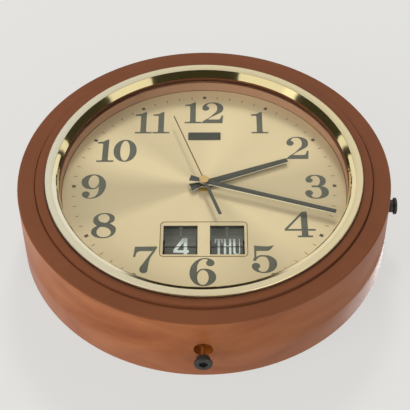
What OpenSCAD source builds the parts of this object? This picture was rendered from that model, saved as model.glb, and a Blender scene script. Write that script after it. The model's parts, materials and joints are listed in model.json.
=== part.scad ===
// Round wall clock with sweep seconds and a two-window flip calendar.
//
// Every module is drawn lying on its back: the back plane is z = 0, the clock's
// axis is +Z and twelve o'clock is +Y. hung() then turns the piece upright, so in
// the finished part +Z is up, the dial looks along -Y, the wall is the plane
// y = 0 and the origin is the centre of the hanger's keyhole.

/* [Case] */
// Outer radius of the case at its front edge
case_front_r = 160.8; // [156:0.1:166]
// How much wider the case is at its back edge
case_flare = 1.4; // [0:0.1:3]
// Depth of the case from the back plane to its front face
case_depth = 67.4; // [66:0.2:72]
// Thickness of the case's side wall
case_wall = 3; // [2.4:0.1:3.6]
// Thickness of the case's front face
case_front_t = 4; // [3.4:0.1:4.6]
// Width of the flat front face outside the raised ring
front_band_w = 14.8; // [12:0.1:15]
// Rounding of the case's front edge
case_edge_r = 1.4; // [0.6:0.1:2.2]
// Radius of the round recess behind each knob
knob_recess_r = 7.8; // [7:0.1:8.2]
// Depth of that recess from the case's back edge
knob_recess_d = 8; // [6.5:0.1:9]
// Radial width of the inner ledge that the rear cover rests on
ledge_w = 7; // [6:0.5:9]
// Thickness of that ledge
ledge_t = 2.5; // [2:0.1:3.5]

/* [Bezel] */
// Width of the raised ring's flat top
bezel_band_w = 8.3; // [8:0.1:9.5]
// Width of the ring's edge that rests on the case
bezel_lap = 6; // [5.6:0.1:6.8]
// Height of the raised ring above the case's front face
bezel_rise = 2.1; // [1.4:0.1:2.8]
// Depth of the rebate that the ring sits in
bezel_sink = 1.5; // [1:0.1:1.8]
// Number of screw posts behind the bezel
post_count = 6; // [4:1:8]
// Radius of each screw post
post_r = 3; // [2.6:0.1:3.3]
// Gap between the screw posts and the glass
post_gap = 1.8; // [1:0.1:2.4]

/* [Trim ring] */
// Width of the metal trim ring from its outer edge to its lip
trim_w = 8.5; // [7:0.1:10]
// Width of the slope inside the lip
trim_slope_w = 1.9; // [1.2:0.1:2.6]
// Height of the trim ring above the case's front face
trim_h = 5; // [4.2:0.1:6]
// Radius of the rolled lip of the trim ring
trim_roll_r = 4; // [3.2:0.1:4.4]
// How far the trim ring's inner wall reaches down into the tunnel
trim_skirt_h = 1.5; // [0.8:0.1:2]
// Sheet thickness of the trim ring
trim_t = 0.9; // [0.7:0.05:1.1]
// Gap between the trim ring and the raised ring around it
trim_gap = 0.8; // [0.4:0.1:1]

/* [Glass] */
// Depth of the glass's front below the case's front face
glass_drop = 5.5; // [5:0.1:5.8]
// Thickness of the glass
glass_t = 1.8; // [1.5:0.1:2]
// Width of the glass's edge that the bezel covers
glass_lap = 1.3; // [0.9:0.1:1.6]
// Thickness of the seal behind the glass
gasket_t = 0.5; // [0.3:0.1:0.8]

/* [Dial] */
// Depth of the dial's face below the case's front face
dial_drop = 17.1; // [16.9:0.1:18.2]
// Thickness of the dial plate
dial_t = 0.8; // [0.6:0.1:1]
// Thickness of the steel carrier plate behind the dial
carrier_t = 1.2; // [1:0.1:1.6]
// How far the surround stands inside the tunnel wall in front of the glass
surround_step = 1.7; // [1.4:0.1:2.2]
// Wall of that surround
surround_wall = 2.2; // [2:0.1:2.4]
// Width of the blank badge plate
badge_w = 29.5; // [26:0.5:32]
// Height of the badge plate
badge_h = 9; // [7:0.5:10]
// Thickness of the badge plate
badge_t = 0.7; // [0.4:0.1:1.2]
// Height of the badge plate's centre above the clock's axis
badge_y = 62.1; // [60:0.5:68]

/* [Hands] */
// Length of the hour hand from its hub
hour_len = 79.3; // [70:0.5:82]
// Width of the hour hand at its widest
hour_w = 7.4; // [6:0.2:9]
// Gap between the minute hand's tip and the surround
minute_gap = 6.8; // [5:0.1:20]
// Width of the minute hand at its widest
minute_w = 5.2; // [5:0.2:7]
// Length of the hour and minute hands' tails
hand_tail = 12.8; // [11:0.2:14]
// Thickness of the hour and minute hands at the ridge
hand_t = 1.1; // [0.9:0.1:1.2]
// Height of the hour hand's underside above the dial
hour_lift = 2.7; // [2.6:0.1:3.2]
// Height of the minute hand's underside above the dial
minute_lift = 5.9; // [5.5:0.1:6.1]
// Height of the seconds hand's underside above the dial
second_lift = 8; // [7.9:0.1:8.1]
// Length of the seconds hand from its hub
second_len = 85; // [75:0.5:90]
// Width of the seconds hand's wire
second_w = 0.9; // [0.7:0.1:1.2]
// Length of the seconds hand's counterweight from the hub
weight_len = 42.3; // [36:0.5:44]
// Width of the counterweight
weight_w = 2.8; // [2:0.1:3.5]
// Radius of the cap in the middle of the seconds hand
cap_r = 4.2; // [3.4:0.1:5]
// Hours shown at rest
rest_hour = 2; // [0:1:11]
// Minutes shown at rest
rest_minute = 17; // [0:1:59]
// Seconds shown at rest
rest_second = 56.8; // [0:0.1:59.9]

/* [Centre stack] */
// Radius of the seconds arbor
arbor_r = 0.6; // [0.5:0.05:0.7]
// Outer radius of the minute hand's tube
minute_tube_r = 1.5; // [1.3:0.05:1.6]
// Outer radius of the hour hand's tube
hour_tube_r = 2.3; // [2.1:0.05:2.5]
// Outer radius of the threaded centre bush
bush_r = 4; // [3.6:0.1:4.4]
// Radial clearance of every running fit
running_fit = 0.05; // [0.03:0.01:0.08]
// Width across the flats of the centre nut
nut_flats = 12; // [11:0.5:13]
// Thickness of the centre nut
nut_t = 1.8; // [1.4:0.1:2]

/* [Movement] */
// Width of the movement's plates
plate_w = 76; // [74:1:80]
// Distance of the plates' lower edge below the clock's axis
plate_low = 32; // [31:0.5:34]
// Distance of the plates' upper edge above the clock's axis
plate_high = 50; // [48:0.5:52]
// Thickness of each plate
plate_t = 1.5; // [1.2:0.1:1.8]
// Clear height between the plates
plate_gap = 21; // [20:0.5:22]
// Gap between the front plate and the carrier plate
motion_gap = 3.8; // [3.7:0.1:4.4]
// Thickness of the wheels' rims
wheel_t = 0.8; // [0.6:0.1:1]
// Outer radius of the pillars
pillar_r = 2.5; // [2.2:0.1:3]
// Radius of the long screws through the pillars
pillar_screw_r = 1.2; // [1:0.1:1.4]
// Tooth size of the wheels that turn the seconds arbor
seconds_module = 0.36; // [0.34:0.01:0.38]
// Tooth size of the centre wheel and its pinion
centre_module = 0.36; // [0.35:0.01:0.37]
// Tooth size of the wheels under the dial
motion_module = 0.5; // [0.48:0.01:0.52]
// Radius of the balance wheel
balance_r = 11.5; // [10:0.5:12]
// Outer radius of the drive coil
coil_r = 6.5; // [5:0.5:7]
// Wall of the plastic dust cover
dust_wall = 1.2; // [1:0.1:1.6]

/* [Setting knobs] */
// Radius of each knob's neck
knob_neck_r = 5.6; // [5:0.1:6]
// Radius of each knob's flange
knob_r = 7.4; // [6.8:0.1:8]
// Length of each knob with its neck
knob_len = 6.8; // [6:0.1:7.6]
// Distance from the case's front face to the time knob's axis
knob_drop = 32.6; // [32:0.1:33.4]
// How far the calendar knob's end stands out from the case's back edge
calendar_knob_proud = 13.9; // [10:0.1:17]
// How far the time knob's end stands out from the case's back edge
time_knob_proud = 6.6; // [5:0.1:10]
// Distance of the time knob's axis below the clock's axis
time_knob_y = 10; // [9.8:0.1:10.2]
// Radius of the steel shaft inside each knob
shaft_r = 1.5; // [1.3:0.1:1.7]
// Tooth size of the right-angle gears on the shafts
crown_module = 0.8; // [0.78:0.01:0.82]

/* [Calendar] */
// Width of each window in the dial
window_w = 29; // [28.5:0.1:29.5]
// Height of each window
window_h = 31.5; // [29:0.5:33]
// Distance from the clock's middle plane to a window's middle
window_x = 19.7; // [19.5:0.1:20]
// Distance of the windows' middle below the clock's axis
window_y = 60.7; // [60:0.1:62]
// Width of the slope beside the windows
bevel_w = 2.1; // [1.6:0.1:2.6]
// Width of the slope above and below the windows
bevel_h = 2.9; // [2.2:0.1:3.2]
// Depth of the slope round the windows
bevel_d = 1.1; // [0.8:0.1:1.2]
// Depth of the leaves' front below the dial's face
leaf_drop = 10.3; // [10:0.1:10.6]
// Width of a leaf
leaf_w = 27; // [26:0.1:27.4]
// Length of a leaf from its hinge to its free edge
leaf_len = 13.2; // [12:0.1:13.6]
// Thickness of a leaf
leaf_t = 0.4; // [0.3:0.05:0.5]
// Radius of the circle of hinge points on a drum
drum_r = 5.2; // [5:0.1:5.6]
// Number of leaves on the date drum
date_leaves = 31; // [31:1:31]
// Number of leaves on the weekday drum
day_leaves = 14; // [7:7:14]
// Radius of the fixed arbor that the drums turn on
drum_arbor_r = 1; // [0.8:0.1:1.2]
// Width of the spring finger that holds a leaf up
finger_w = 1.2; // [0.8:0.1:1.6]
// Wall of the calendar's frame
cal_wall = 1.5; // [1.2:0.1:2]

/* [Battery] */
// Radius of the round dry cell
cell_r = 16.5; // [16:0.1:17]
// Length of the dry cell without its tip
cell_len = 60; // [58:0.5:61]
// Wall of the battery tray
tray_wall = 2; // [1.6:0.1:2.4]
// Distance of the tray's middle above the clock's axis
tray_y = 79; // [76:0.5:82]

/* [Back] */
// Thickness of the rear cover
cover_t = 2.5; // [2:0.1:3]
// Depth of the rear cover inside the case's back edge
cover_inset = 4.5; // [4:0.1:6]
// Distance of the hanger's keyhole from the case's back edge
hanger_inset = 34.2; // [31:0.2:38]
// Radius of the keyhole's round hole
keyhole_r = 4.5; // [4:0.1:5]
// Width of the keyhole's slot
keyhole_slot_w = 5; // [4:0.1:5.5]
// Distance from the round hole to the slot's end
keyhole_slot_len = 9; // [8:0.5:11]
// Thickness of the hanger plate
hanger_t = 1.5; // [1.2:0.1:2]
// Thread radius of the small case screws
screw_r = 1.25; // [1:0.05:1.4]

/* [Hidden] */
$fn = 96;
round_fn = 192;
fit_gap = 0.3;
seat_gap = 0.1;
cut = 0.01;
skin = 1;

// Planes along the clock's axis, measured from the back
front_z = case_depth;
bezel_top_z = front_z + bezel_rise;
bezel_floor_z = front_z - bezel_sink;
trim_top_z = front_z + trim_h;
glass_top_z = front_z - glass_drop;
glass_low_z = glass_top_z - glass_t;
gasket_low_z = glass_low_z - gasket_t;
dial_z = front_z - dial_drop;
dial_low_z = dial_z - dial_t;
carrier_z = dial_low_z - carrier_t;
front_plate_top_z = carrier_z - motion_gap;
front_plate_z = front_plate_top_z - plate_t;
back_plate_top_z = front_plate_z - plate_gap;
back_plate_z = back_plate_top_z - plate_t;
knob_z = front_z - knob_drop;
hour_z = dial_z + hour_lift;
minute_z = dial_z + minute_lift;
second_z = dial_z + second_lift;
cover_top_z = cover_inset + cover_t;

// Radii that follow from the case's front and the widths of its rings
case_back_r = case_front_r + case_flare;
bezel_r = case_front_r - front_band_w;
case_hole_r = bezel_r - bezel_lap;
trim_r = bezel_r - bezel_band_w - trim_gap;
trim_lip_r = trim_r - trim_w;
tunnel_r = trim_lip_r - trim_slope_w;
surround_r = tunnel_r - surround_step;
minute_len = surround_r - minute_gap;
glass_r = tunnel_r + glass_lap;
spigot_r = case_hole_r - seat_gap;
post_circle_r = glass_r + post_gap + post_r;
dial_r = post_circle_r + post_r + 0.6;
calendar_knob_reach = case_back_r + calendar_knob_proud;
time_knob_reach = case_back_r + time_knob_proud;
wall_slope = (case_back_r - case_front_r) / case_depth;
function wall_in_r(z) = case_back_r - wall_slope * z - case_wall;
ledge_r = wall_in_r(cover_top_z) - ledge_w;
cover_r = wall_in_r(cover_top_z) - fit_gap;
minute_bore_r = arbor_r + running_fit;
hour_bore_r = minute_tube_r + running_fit;
bush_bore_r = hour_tube_r + running_fit;
shaft_bore_r = shaft_r + running_fit;
dial_hole_r = bush_r + seat_gap;
screw_head_r = screw_r * 2;
screw_head_h = screw_r * 1.2;
screw_grip = 6;

// The hands' angles at rest, clockwise from twelve o'clock
second_angle = rest_second * 6;
minute_angle = (rest_minute + rest_second / 60) * 6;
hour_angle = (rest_hour + rest_minute / 60 + rest_second / 3600) * 30;

// Distance of the pillars from the plates' edges
pillar_in = 5;

// The going train
pinion_small = 10;
pinion_escape = 8;
third_teeth = 75;
seconds_teeth = 80;
centre_teeth = 80;
escape_teeth = 15;
third_dist = centre_module * (centre_teeth + pinion_small) / 2;
third_module = third_dist * 2 / (third_teeth + pinion_small);
third_angle = 150;
third_pos = third_dist * [cos(third_angle), sin(third_angle)];
escape_dist = seconds_module * (seconds_teeth + pinion_escape) / 2;
escape_angle = 30;
escape_pos = escape_dist * [cos(escape_angle), sin(escape_angle)];
escape_r = 6;
seconds_wheel_z = back_plate_top_z + 2.5;
third_wheel_z = seconds_wheel_z + 2.5;
centre_wheel_z = third_wheel_z + 6;
balance_low_z = centre_wheel_z + 1.4;
balance_gap = 3.6;
balance_pos = [0, 31.5];
coil_t = 2;
coil_pos = balance_pos + [balance_r - 1, 0];
coil_z = balance_low_z + wheel_t + (balance_gap - coil_t) / 2;
coil_bore_r = 2.5;
board_t = 1.2;
board_z = coil_z + (coil_t - board_t) / 2;
board_x0 = balance_r + 0.8;
board_x1 = plate_w / 2 - 4;
board_y0 = balance_pos[1] - 9;
board_y1 = plate_high - pillar_in - pillar_r - 1.5;
lead_x = board_x1 - 12;
board_posts = [[board_x1 - 3, board_y0 + 3], [board_x1 - 3, board_y1 - 3]];

// The wheels under the dial
cannon_teeth = 12;
minute_wheel_teeth = 36;
minute_pinion_teeth = 10;
hour_wheel_teeth = 40;
setting_teeth = 18;
motion_dist = motion_module * (cannon_teeth + minute_wheel_teeth) / 2;
hour_module = motion_dist * 2 / (minute_pinion_teeth + hour_wheel_teeth);
motion_wheel_t = 1.1;
motion_low_z = front_plate_top_z + 0.3;
motion_high_z = motion_low_z + motion_wheel_t + 0.2;
minute_wheel_pos = [motion_dist, 0];
minute_wheel_turn = 180 + 180 / minute_wheel_teeth;
setting_dist = motion_module * (minute_wheel_teeth + setting_teeth) / 2;
setting_pos = [motion_dist + sqrt(setting_dist * setting_dist - time_knob_y * time_knob_y), -time_knob_y];
bush_flange_r = bush_r + 2;
bush_flange_t = 0.8;

// The right-angle gears
crown_teeth = 20;
crown_pinion_teeth = 10;
crown_face = 2;
crown_tooth_h = 1.5 * crown_module;
setting_crown_r = crown_module * crown_teeth / 2;
setting_crown_z = knob_z + crown_module * crown_pinion_teeth / 2;
cal_module = 0.6;
cal_crown_r = cal_module * crown_teeth / 2;
cal_pinion_r = cal_module * crown_pinion_teeth / 2;
cal_face = 1.6;

// The calendar
cal_bezel_t = bevel_d + 0.1;
cal_bezel_rim = 0.4;
cal_bezel_w = 2 * (window_x + window_w / 2 + bevel_w + cal_bezel_rim);
cal_bezel_h = window_h + 2 * (bevel_h + cal_bezel_rim);
cal_bezel_corner = 3.6;
leaf_z = dial_z - leaf_drop;
drum_z = leaf_z - drum_r;
drum_disc_t = 1;
drum_rim = 0.8;
drum_hub_r = 2.6;
drum_in_x = window_x - leaf_w / 2 - fit_gap - drum_disc_t;
drum_out_x = window_x + leaf_w / 2 + fit_gap + drum_disc_t;
cheek_x = drum_out_x + 0.6;
frame_x = cheek_x + cal_wall;
frame_top_y = -window_y + 24.2;
frame_bar_h = 3;
frame_low_y = -window_y - 9;
frame_back_z = drum_z - 6;
finger_t = 0.4;
finger_foot = 1;
finger_root_y = frame_top_y - frame_bar_h - 0.05;
finger_lap = 2.6;
finger_tip_y = -window_y + leaf_len - finger_lap;
finger_z = leaf_z + 0.5;
leaf_gap = 0.5;

// The battery bay
tray_in_w = cell_len + 5;
tray_in_h = 2 * cell_r + 2;
tray_x = tray_in_w / 2 + tray_wall;
tray_hy = tray_in_h / 2 + tray_wall;
cell_z = cover_top_z + cell_r + 2;
tray_floor_z = cell_z + cell_r + 0.4;
contact_t = 0.5;
contact_half_w = 6;
contact_half_h = 8;
door_w = tray_in_w - 2;
door_h = tray_in_h - 2;
door_lip = 2;
door_lip_t = 1.2;

// The back
hanger_y = case_back_r - hanger_inset;
hanger_half_w = keyhole_r + 8.5;
hanger_margin = 6.5;
hanger_top_y = hanger_y + keyhole_slot_len + hanger_margin;
hanger_low_y = hanger_y - keyhole_r - hanger_margin;
wing_w = 11;
wing_screw_x = hanger_half_w + wing_w / 2 + hanger_t;
wing_screw_y = hanger_y + 3;
relief_w = keyhole_r * 2 + 6;
cover_screw_r = cover_r - ledge_w / 2;
cover_screw_angles = [45, 135, 225, 315];
bezel_screw_r = (case_hole_r + bezel_r) / 2;
bezel_screw_angles = [0, 90, 180, 270];
bracket_foot_t = 1.5;
bracket_wall = 2;
time_bracket_x = dial_r - 11.2;
time_bracket_y = -time_knob_y;
cal_bracket_near = window_y + drum_r + leaf_len + 2.5 * bracket_wall;
cal_bracket_far = dial_r - 8.2;

// Turns a piece that is drawn lying on its back upright, with the keyhole at the origin
module hung() {
  translate([0, 0, -hanger_y]) rotate([90, 0, 0]) children();
}

// Points of an arc, for rounded profiles
function arc(cx, cy, r, a0, a1, n) =
  [for (i = [0:n]) [cx + r * cos(a0 + (a1 - a0) * i / n), cy + r * sin(a0 + (a1 - a0) * i / n)]];

// A plain ring or tube from z0 to z1
module tube(r_out, r_in, z0, z1) {
  rotate_extrude($fn = round_fn)
    polygon([[r_in, z0], [r_out, z0], [r_out, z1], [r_in, z1]]);
}

// A rod from z0 to z1
module rod(r, z0, z1) {
  translate([0, 0, z0]) cylinder(r = r, h = z1 - z0);
}

// A box given by two opposite corners
module block(low, high) {
  translate(low) cube(high - low);
}

// A rectangle with rounded corners, as a plate from z0 to z1
module rounded_plate(w, h, r, z0, z1) {
  translate([0, 0, z0]) linear_extrude(z1 - z0)
    polygon(concat(
      arc(w / 2 - r, h / 2 - r, r, 0, 90, 6),
      arc(-w / 2 + r, h / 2 - r, r, 90, 180, 6),
      arc(-w / 2 + r, -h / 2 + r, r, 180, 270, 6),
      arc(w / 2 - r, -h / 2 + r, r, 270, 360, 6)));
}

// Outline of a spur gear with straight-sided teeth, one tooth centred on +X
tip_share = 0.11;
pitch_share = 0.2;
root_share = 0.27;
addendum = 0.75;
dedendum = 1;
function gear_points(teeth, m) = [
  for (i = [0:teeth - 1]) each [
    for (k = [
      [-root_share, -dedendum], [-pitch_share, 0], [-tip_share, addendum],
      [tip_share, addendum], [pitch_share, 0], [root_share, -dedendum]
    ])
      (m * teeth / 2 + k[1] * m) * [cos((i + k[0]) * 360 / teeth), sin((i + k[0]) * 360 / teeth)]
  ]
];

// A spur gear from z0 to z1 with a round bore; bore 0 leaves it solid
module gear(teeth, m, bore, z0, z1, turn = 0) {
  rotate([0, 0, turn]) translate([0, 0, z0]) difference() {
    linear_extrude(z1 - z0) polygon(gear_points(teeth, m));
    if (bore > 0) translate([0, 0, -skin]) cylinder(r = bore, h = z1 - z0 + 2 * skin);
  }
}

// A spoked clock wheel: toothed rim, four spokes and a hub
module spoked_wheel(teeth, m, bore, z0, z1, turn = 0) {
  rim_in = m * teeth / 2 - 2.4 * m - 0.6;
  hub = bore + 2;
  difference() {
    gear(teeth, m, bore, z0, z1, turn);
    for (a = [0:90:270]) rotate([0, 0, a + 45]) translate([0, 0, z0 - skin])
      linear_extrude(z1 - z0 + 2 * skin)
        polygon(concat(arc(0, 0, rim_in, -37, 37, 8), arc(0, 0, hub, 24, -24, 4)));
  }
}

// The teeth of a crown gear: bars along the radius that stand down from z = 0
module crown_ring(teeth, m, face) {
  r = m * teeth / 2;
  for (i = [0:teeth - 1]) rotate([0, 0, i * 360 / teeth]) translate([r - face / 2, 0, 0])
    rotate([90, 0, 90]) linear_extrude(face)
      polygon([[-0.5 * m, 0.5 * m], [-0.5 * m, 0], [-0.22 * m, -1.45 * m], [0.22 * m, -1.45 * m],
        [0.5 * m, 0], [0.5 * m, 0.5 * m]]);
}

// A screw with a round head: the head's underside is at z = 0 and the thread points to +Z
module screw(grip) {
  difference() {
    union() {
      translate([0, 0, -screw_head_h]) cylinder(r = screw_head_r, h = screw_head_h, $fn = 32);
      cylinder(r = screw_r, h = grip, $fn = 32);
    }
    block([-screw_head_r - 1, -0.3, -screw_head_h - 1], [screw_head_r + 1, 0.3, -screw_head_h * 0.5]);
  }
}

// ---- Case and front ----

knob_cup_wall = 1.6;
knob_cup_end = case_back_r - knob_recess_d;

// The moulded cup behind a knob, drawn along +Z from the clock's axis, and its hollow
module knob_cup() {
  rod(knob_recess_r + knob_cup_wall, knob_cup_end - knob_cup_wall, case_front_r - case_wall + 1);
}

module knob_recess() {
  rod(knob_recess_r, knob_cup_end, case_back_r + 2);
  rod(shaft_r + 1, knob_cup_end - knob_cup_wall - skin, knob_cup_end + skin);
}

module case_body() {
  hung() color("saddlebrown") difference() {
    union() {
      rotate_extrude($fn = round_fn) polygon(concat(
        [[case_back_r - case_wall, 0], [case_back_r, 0]],
        arc(case_front_r - case_edge_r, front_z - case_edge_r, case_edge_r, 0, 90, 6),
        [[bezel_r + fit_gap, front_z], [bezel_r + fit_gap, bezel_floor_z],
         [case_hole_r, bezel_floor_z], [case_hole_r, front_z - case_front_t],
         [wall_in_r(front_z - case_front_t), front_z - case_front_t]]));
      tube(wall_in_r(cover_top_z) + skin, ledge_r, cover_top_z, cover_top_z + ledge_t);
      for (a = cover_screw_angles) rotate([0, 0, a]) translate([cover_screw_r, 0, 0])
        rod(screw_r * 2.4, cover_top_z, cover_top_z + screw_grip + 2);
      translate([0, 0, drum_z]) rotate([90, 0, 0]) knob_cup();
      translate([0, -time_knob_y, knob_z]) rotate([0, 90, 0]) knob_cup();
    }
    for (a = cover_screw_angles) rotate([0, 0, a]) translate([cover_screw_r, 0, 0])
      rod(screw_r + seat_gap, cover_top_z - skin, cover_top_z + screw_grip + 1);
    for (a = bezel_screw_angles) rotate([0, 0, a]) translate([bezel_screw_r, 0, 0])
      rod(screw_r + seat_gap, front_z - case_front_t - skin, front_z);
    translate([0, 0, drum_z]) rotate([90, 0, 0]) knob_recess();
    translate([0, -time_knob_y, knob_z]) rotate([0, 90, 0]) knob_recess();
  }
}

module bezel_ring() {
  post_z = dial_z + seat_gap;
  hung() color("sienna") difference() {
    union() {
      rotate_extrude($fn = round_fn) polygon(concat(
        [[tunnel_r, glass_top_z + seat_gap], [spigot_r, glass_top_z + seat_gap],
         [spigot_r, bezel_floor_z], [bezel_r, bezel_floor_z]],
        arc(bezel_r - 0.9 - 0.5, bezel_top_z - 0.5, 0.5, 0, 90, 4),
        [[trim_r + trim_gap, bezel_top_z], [trim_r + trim_gap, front_z], [tunnel_r, front_z]]));
      for (i = [0:post_count - 1]) rotate([0, 0, (i + 0.5) * 360 / post_count])
        translate([post_circle_r, 0, 0]) rod(post_r, post_z, front_z - 1);
    }
    for (i = [0:post_count - 1]) rotate([0, 0, (i + 0.5) * 360 / post_count])
      translate([post_circle_r, 0, 0]) rod(screw_r, post_z - skin, post_z + screw_grip + 1);
    for (a = bezel_screw_angles) rotate([0, 0, a]) translate([bezel_screw_r, 0, 0])
      rod(screw_r, bezel_floor_z - skin, bezel_top_z - 0.8);
  }
}

module bezel_screws() {
  hung() color("silver") for (a = bezel_screw_angles) rotate([0, 0, a])
    translate([bezel_screw_r, 0, front_z - case_front_t]) screw(case_front_t + bezel_rise - 1.2);
}

// The trim ring is a pressed sheet: a flat crown, a rolled lip and an inner wall with a skirt
module trim_ring() {
  skirt_r = tunnel_r - 0.3;
  wall_r = skirt_r - 0.4;
  roll_x = wall_r + trim_roll_r;
  roll_z = trim_top_z - 0.5 - trim_roll_r;
  seat_z = front_z + seat_gap;
  hung() color("palegoldenrod") rotate_extrude($fn = round_fn) polygon(concat(
    [[skirt_r - trim_t, front_z - trim_skirt_h]],
    arc(roll_x, roll_z, trim_roll_r, 180, 95, 5),
    [[trim_lip_r + 3.4, trim_top_z - 0.1], [trim_lip_r + 4.4, trim_top_z]],
    arc(trim_r - 0.9, trim_top_z - 0.9, 0.9, 90, 0, 4),
    [[trim_r, seat_z], [trim_r - trim_t, seat_z]],
    arc(trim_r - 0.9 - 0.5, trim_top_z - 0.9 - 0.5, 0.5, 0, 90, 2),
    [[trim_lip_r + 3.4, trim_top_z - trim_t]],
    arc(roll_x, roll_z, trim_roll_r - trim_t, 95, 150, 3),
    [[skirt_r + 1.5, seat_z + trim_t], [skirt_r + 1.5, seat_z],
     [skirt_r, seat_z], [skirt_r, front_z - trim_skirt_h]]));
}

module lens() {
  hung() color("lightcyan", 0.3) rod_round(glass_r, glass_low_z, glass_top_z);
}

// A large disc with a fine edge
module rod_round(r, z0, z1) {
  translate([0, 0, z0]) cylinder(r = r, h = z1 - z0, $fn = round_fn);
}

module lens_gasket() {
  hung() color("dimgray") tube(glass_r - 0.2, surround_r + 0.3, gasket_low_z, glass_low_z);
}

module dial_surround() {
  hung() color("sienna") tube(surround_r + surround_wall, surround_r, dial_z, gasket_low_z);
}

// ---- Dial ----

module window_cuts(grow, z0, z1) {
  for (s = [-1, 1]) translate([s * window_x, -window_y, 0])
    rounded_plate(window_w + 2 * grow, window_h + 2 * grow, 0.6 + grow, z0, z1);
}

module calendar_outline(grow, z0, z1) {
  translate([0, -window_y, 0])
    rounded_plate(cal_bezel_w + 2 * grow, cal_bezel_h + 2 * grow, cal_bezel_corner + grow, z0, z1);
}

// The insert round both windows: sloped edges outside, a flat bar in the middle
module calendar_bezel() {
  slope_w = cal_bezel_w - 2 * cal_bezel_rim;
  slope_h = cal_bezel_h - 2 * cal_bezel_rim;
  bar_x = window_x - window_w / 2;
  hung() color("wheat") difference() {
    calendar_outline(0, dial_z - cal_bezel_t, dial_z);
    translate([0, -window_y, 0]) difference() {
      union() {
        hull() {
          rounded_plate(slope_w, slope_h, cal_bezel_corner - cal_bezel_rim, dial_z, dial_z + cut);
          rounded_plate(slope_w - 2 * bevel_w, slope_h - 2 * bevel_h, 0.4, dial_z - bevel_d, dial_z + cut);
        }
        rounded_plate(slope_w - 2 * bevel_w, slope_h - 2 * bevel_h, 0.4, dial_z - cal_bezel_t - skin, dial_z);
      }
      block([-bar_x, -slope_h, dial_z - cal_bezel_t - 2 * skin], [bar_x, slope_h, dial_z + skin]);
    }
  }
}

module post_holes(z0, z1) {
  for (i = [0:post_count - 1]) rotate([0, 0, (i + 0.5) * 360 / post_count])
    translate([post_circle_r, 0, 0]) rod(screw_r + seat_gap, z0, z1);
}

module dial_plate() {
  hung() color("khaki") difference() {
    rod_round(dial_r, dial_low_z, dial_z);
    rod(dial_hole_r, dial_low_z - skin, dial_z + skin);
    calendar_outline(seat_gap, dial_low_z - skin, dial_z + skin);
    post_holes(dial_low_z - skin, dial_z + skin);
  }
}

module carrier_plate() {
  hung() color("slategray") difference() {
    rod_round(dial_r, carrier_z, dial_low_z);
    rod(dial_hole_r, carrier_z - skin, dial_low_z + skin);
    window_cuts(0.8, carrier_z - skin, dial_low_z + skin);
    calendar_outline(seat_gap, dial_z - cal_bezel_t, dial_low_z + skin);
    post_holes(carrier_z - skin, dial_low_z + skin);
  }
}

module dial_screws() {
  hung() color("silver") for (i = [0:post_count - 1]) rotate([0, 0, (i + 0.5) * 360 / post_count])
    translate([post_circle_r, 0, carrier_z]) screw(screw_grip + dial_t + carrier_t);
}

module badge_plate() {
  hung() color("darkslategray") translate([0, badge_y, 0])
    rounded_plate(badge_w, badge_h, 0.8, dial_z, dial_z + badge_t);
}

// ---- Centre bush and hands ----

module centre_bush() {
  hung() color("goldenrod") difference() {
    union() {
      rod(bush_flange_r, carrier_z - bush_flange_t, carrier_z);
      rod(bush_r, carrier_z - cut, dial_z + nut_t + 0.3);
    }
    rod(bush_bore_r, carrier_z - skin - bush_flange_t, dial_z + nut_t + 1);
  }
}

module centre_nut() {
  hung() color("darkgray") difference() {
    translate([0, 0, dial_z]) cylinder(r = nut_flats / sqrt(3), h = nut_t, $fn = 6);
    rod(bush_r + 0.02, dial_z - skin, dial_z + nut_t + skin);
  }
}

// A baton with a low ridge along its middle; it points to +Y from its hub at the origin
module baton(len, wide, tip_w, tail_w, hub_r, bore) {
  slope = 7;
  difference() {
    linear_extrude(hand_t) union() {
      polygon([[-wide / 2, 4], [-tip_w / 2, len - 0.6], [-tip_w / 2 + 0.6, len],
        [tip_w / 2 - 0.6, len], [tip_w / 2, len - 0.6], [wide / 2, 4], [wide * 0.3, 0],
        [tail_w / 2, -hand_tail], [-tail_w / 2, -hand_tail], [-wide * 0.3, 0]]);
      circle(r = hub_r);
    }
    translate([0, 0, -skin]) cylinder(r = bore, h = hand_t + 2 * skin);
    for (s = [-1, 1]) translate([0, 0, hand_t]) rotate([0, s * slope, 0])
      block([s > 0 ? 0 : -20, -20, 0], [s > 0 ? 20 : 0, len + 20, 5]);
  }
}

module hour_hand() {
  hung() color("darkslategray") translate([0, 0, hour_z]) rotate([0, 0, -hour_angle])
    baton(hour_len, hour_w, 5, 9, 4, hour_tube_r);
}

module hour_wheel() {
  hung() color("goldenrod") {
    gear(hour_wheel_teeth, hour_module, hour_bore_r, motion_high_z, motion_high_z + motion_wheel_t);
    difference() {
      rod(hour_tube_r, motion_high_z + motion_wheel_t - cut, hour_z + hand_t);
      rod(hour_bore_r, motion_high_z, hour_z + hand_t + skin);
    }
  }
}

module minute_hand() {
  hung() color("darkslategray") translate([0, 0, minute_z]) rotate([0, 0, -minute_angle])
    baton(minute_len, minute_w, 4.6, 7.2, 3.2, minute_tube_r);
}

module centre_wheel() {
  tube_low_z = centre_wheel_z - 1;
  hung() color("goldenrod") {
    spoked_wheel(centre_teeth, centre_module, minute_bore_r, centre_wheel_z, centre_wheel_z + wheel_t, third_angle);
    gear(cannon_teeth, motion_module, minute_bore_r, motion_low_z, motion_low_z + motion_wheel_t);
    difference() {
      rod(minute_tube_r, tube_low_z, minute_z + hand_t);
      rod(minute_bore_r, tube_low_z - skin, minute_z + hand_t + skin);
    }
  }
}

module second_hand() {
  hung() color("darkgoldenrod") translate([0, 0, second_z]) rotate([0, 0, -second_angle])
    difference() {
      union() {
        block([-second_w / 2, 0, 0], [second_w / 2, second_len, 0.5]);
        cylinder(r = 2, h = 0.5);
      }
      translate([0, 0, -skin]) cylinder(r = arbor_r, h = 3);
    }
}

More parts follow.
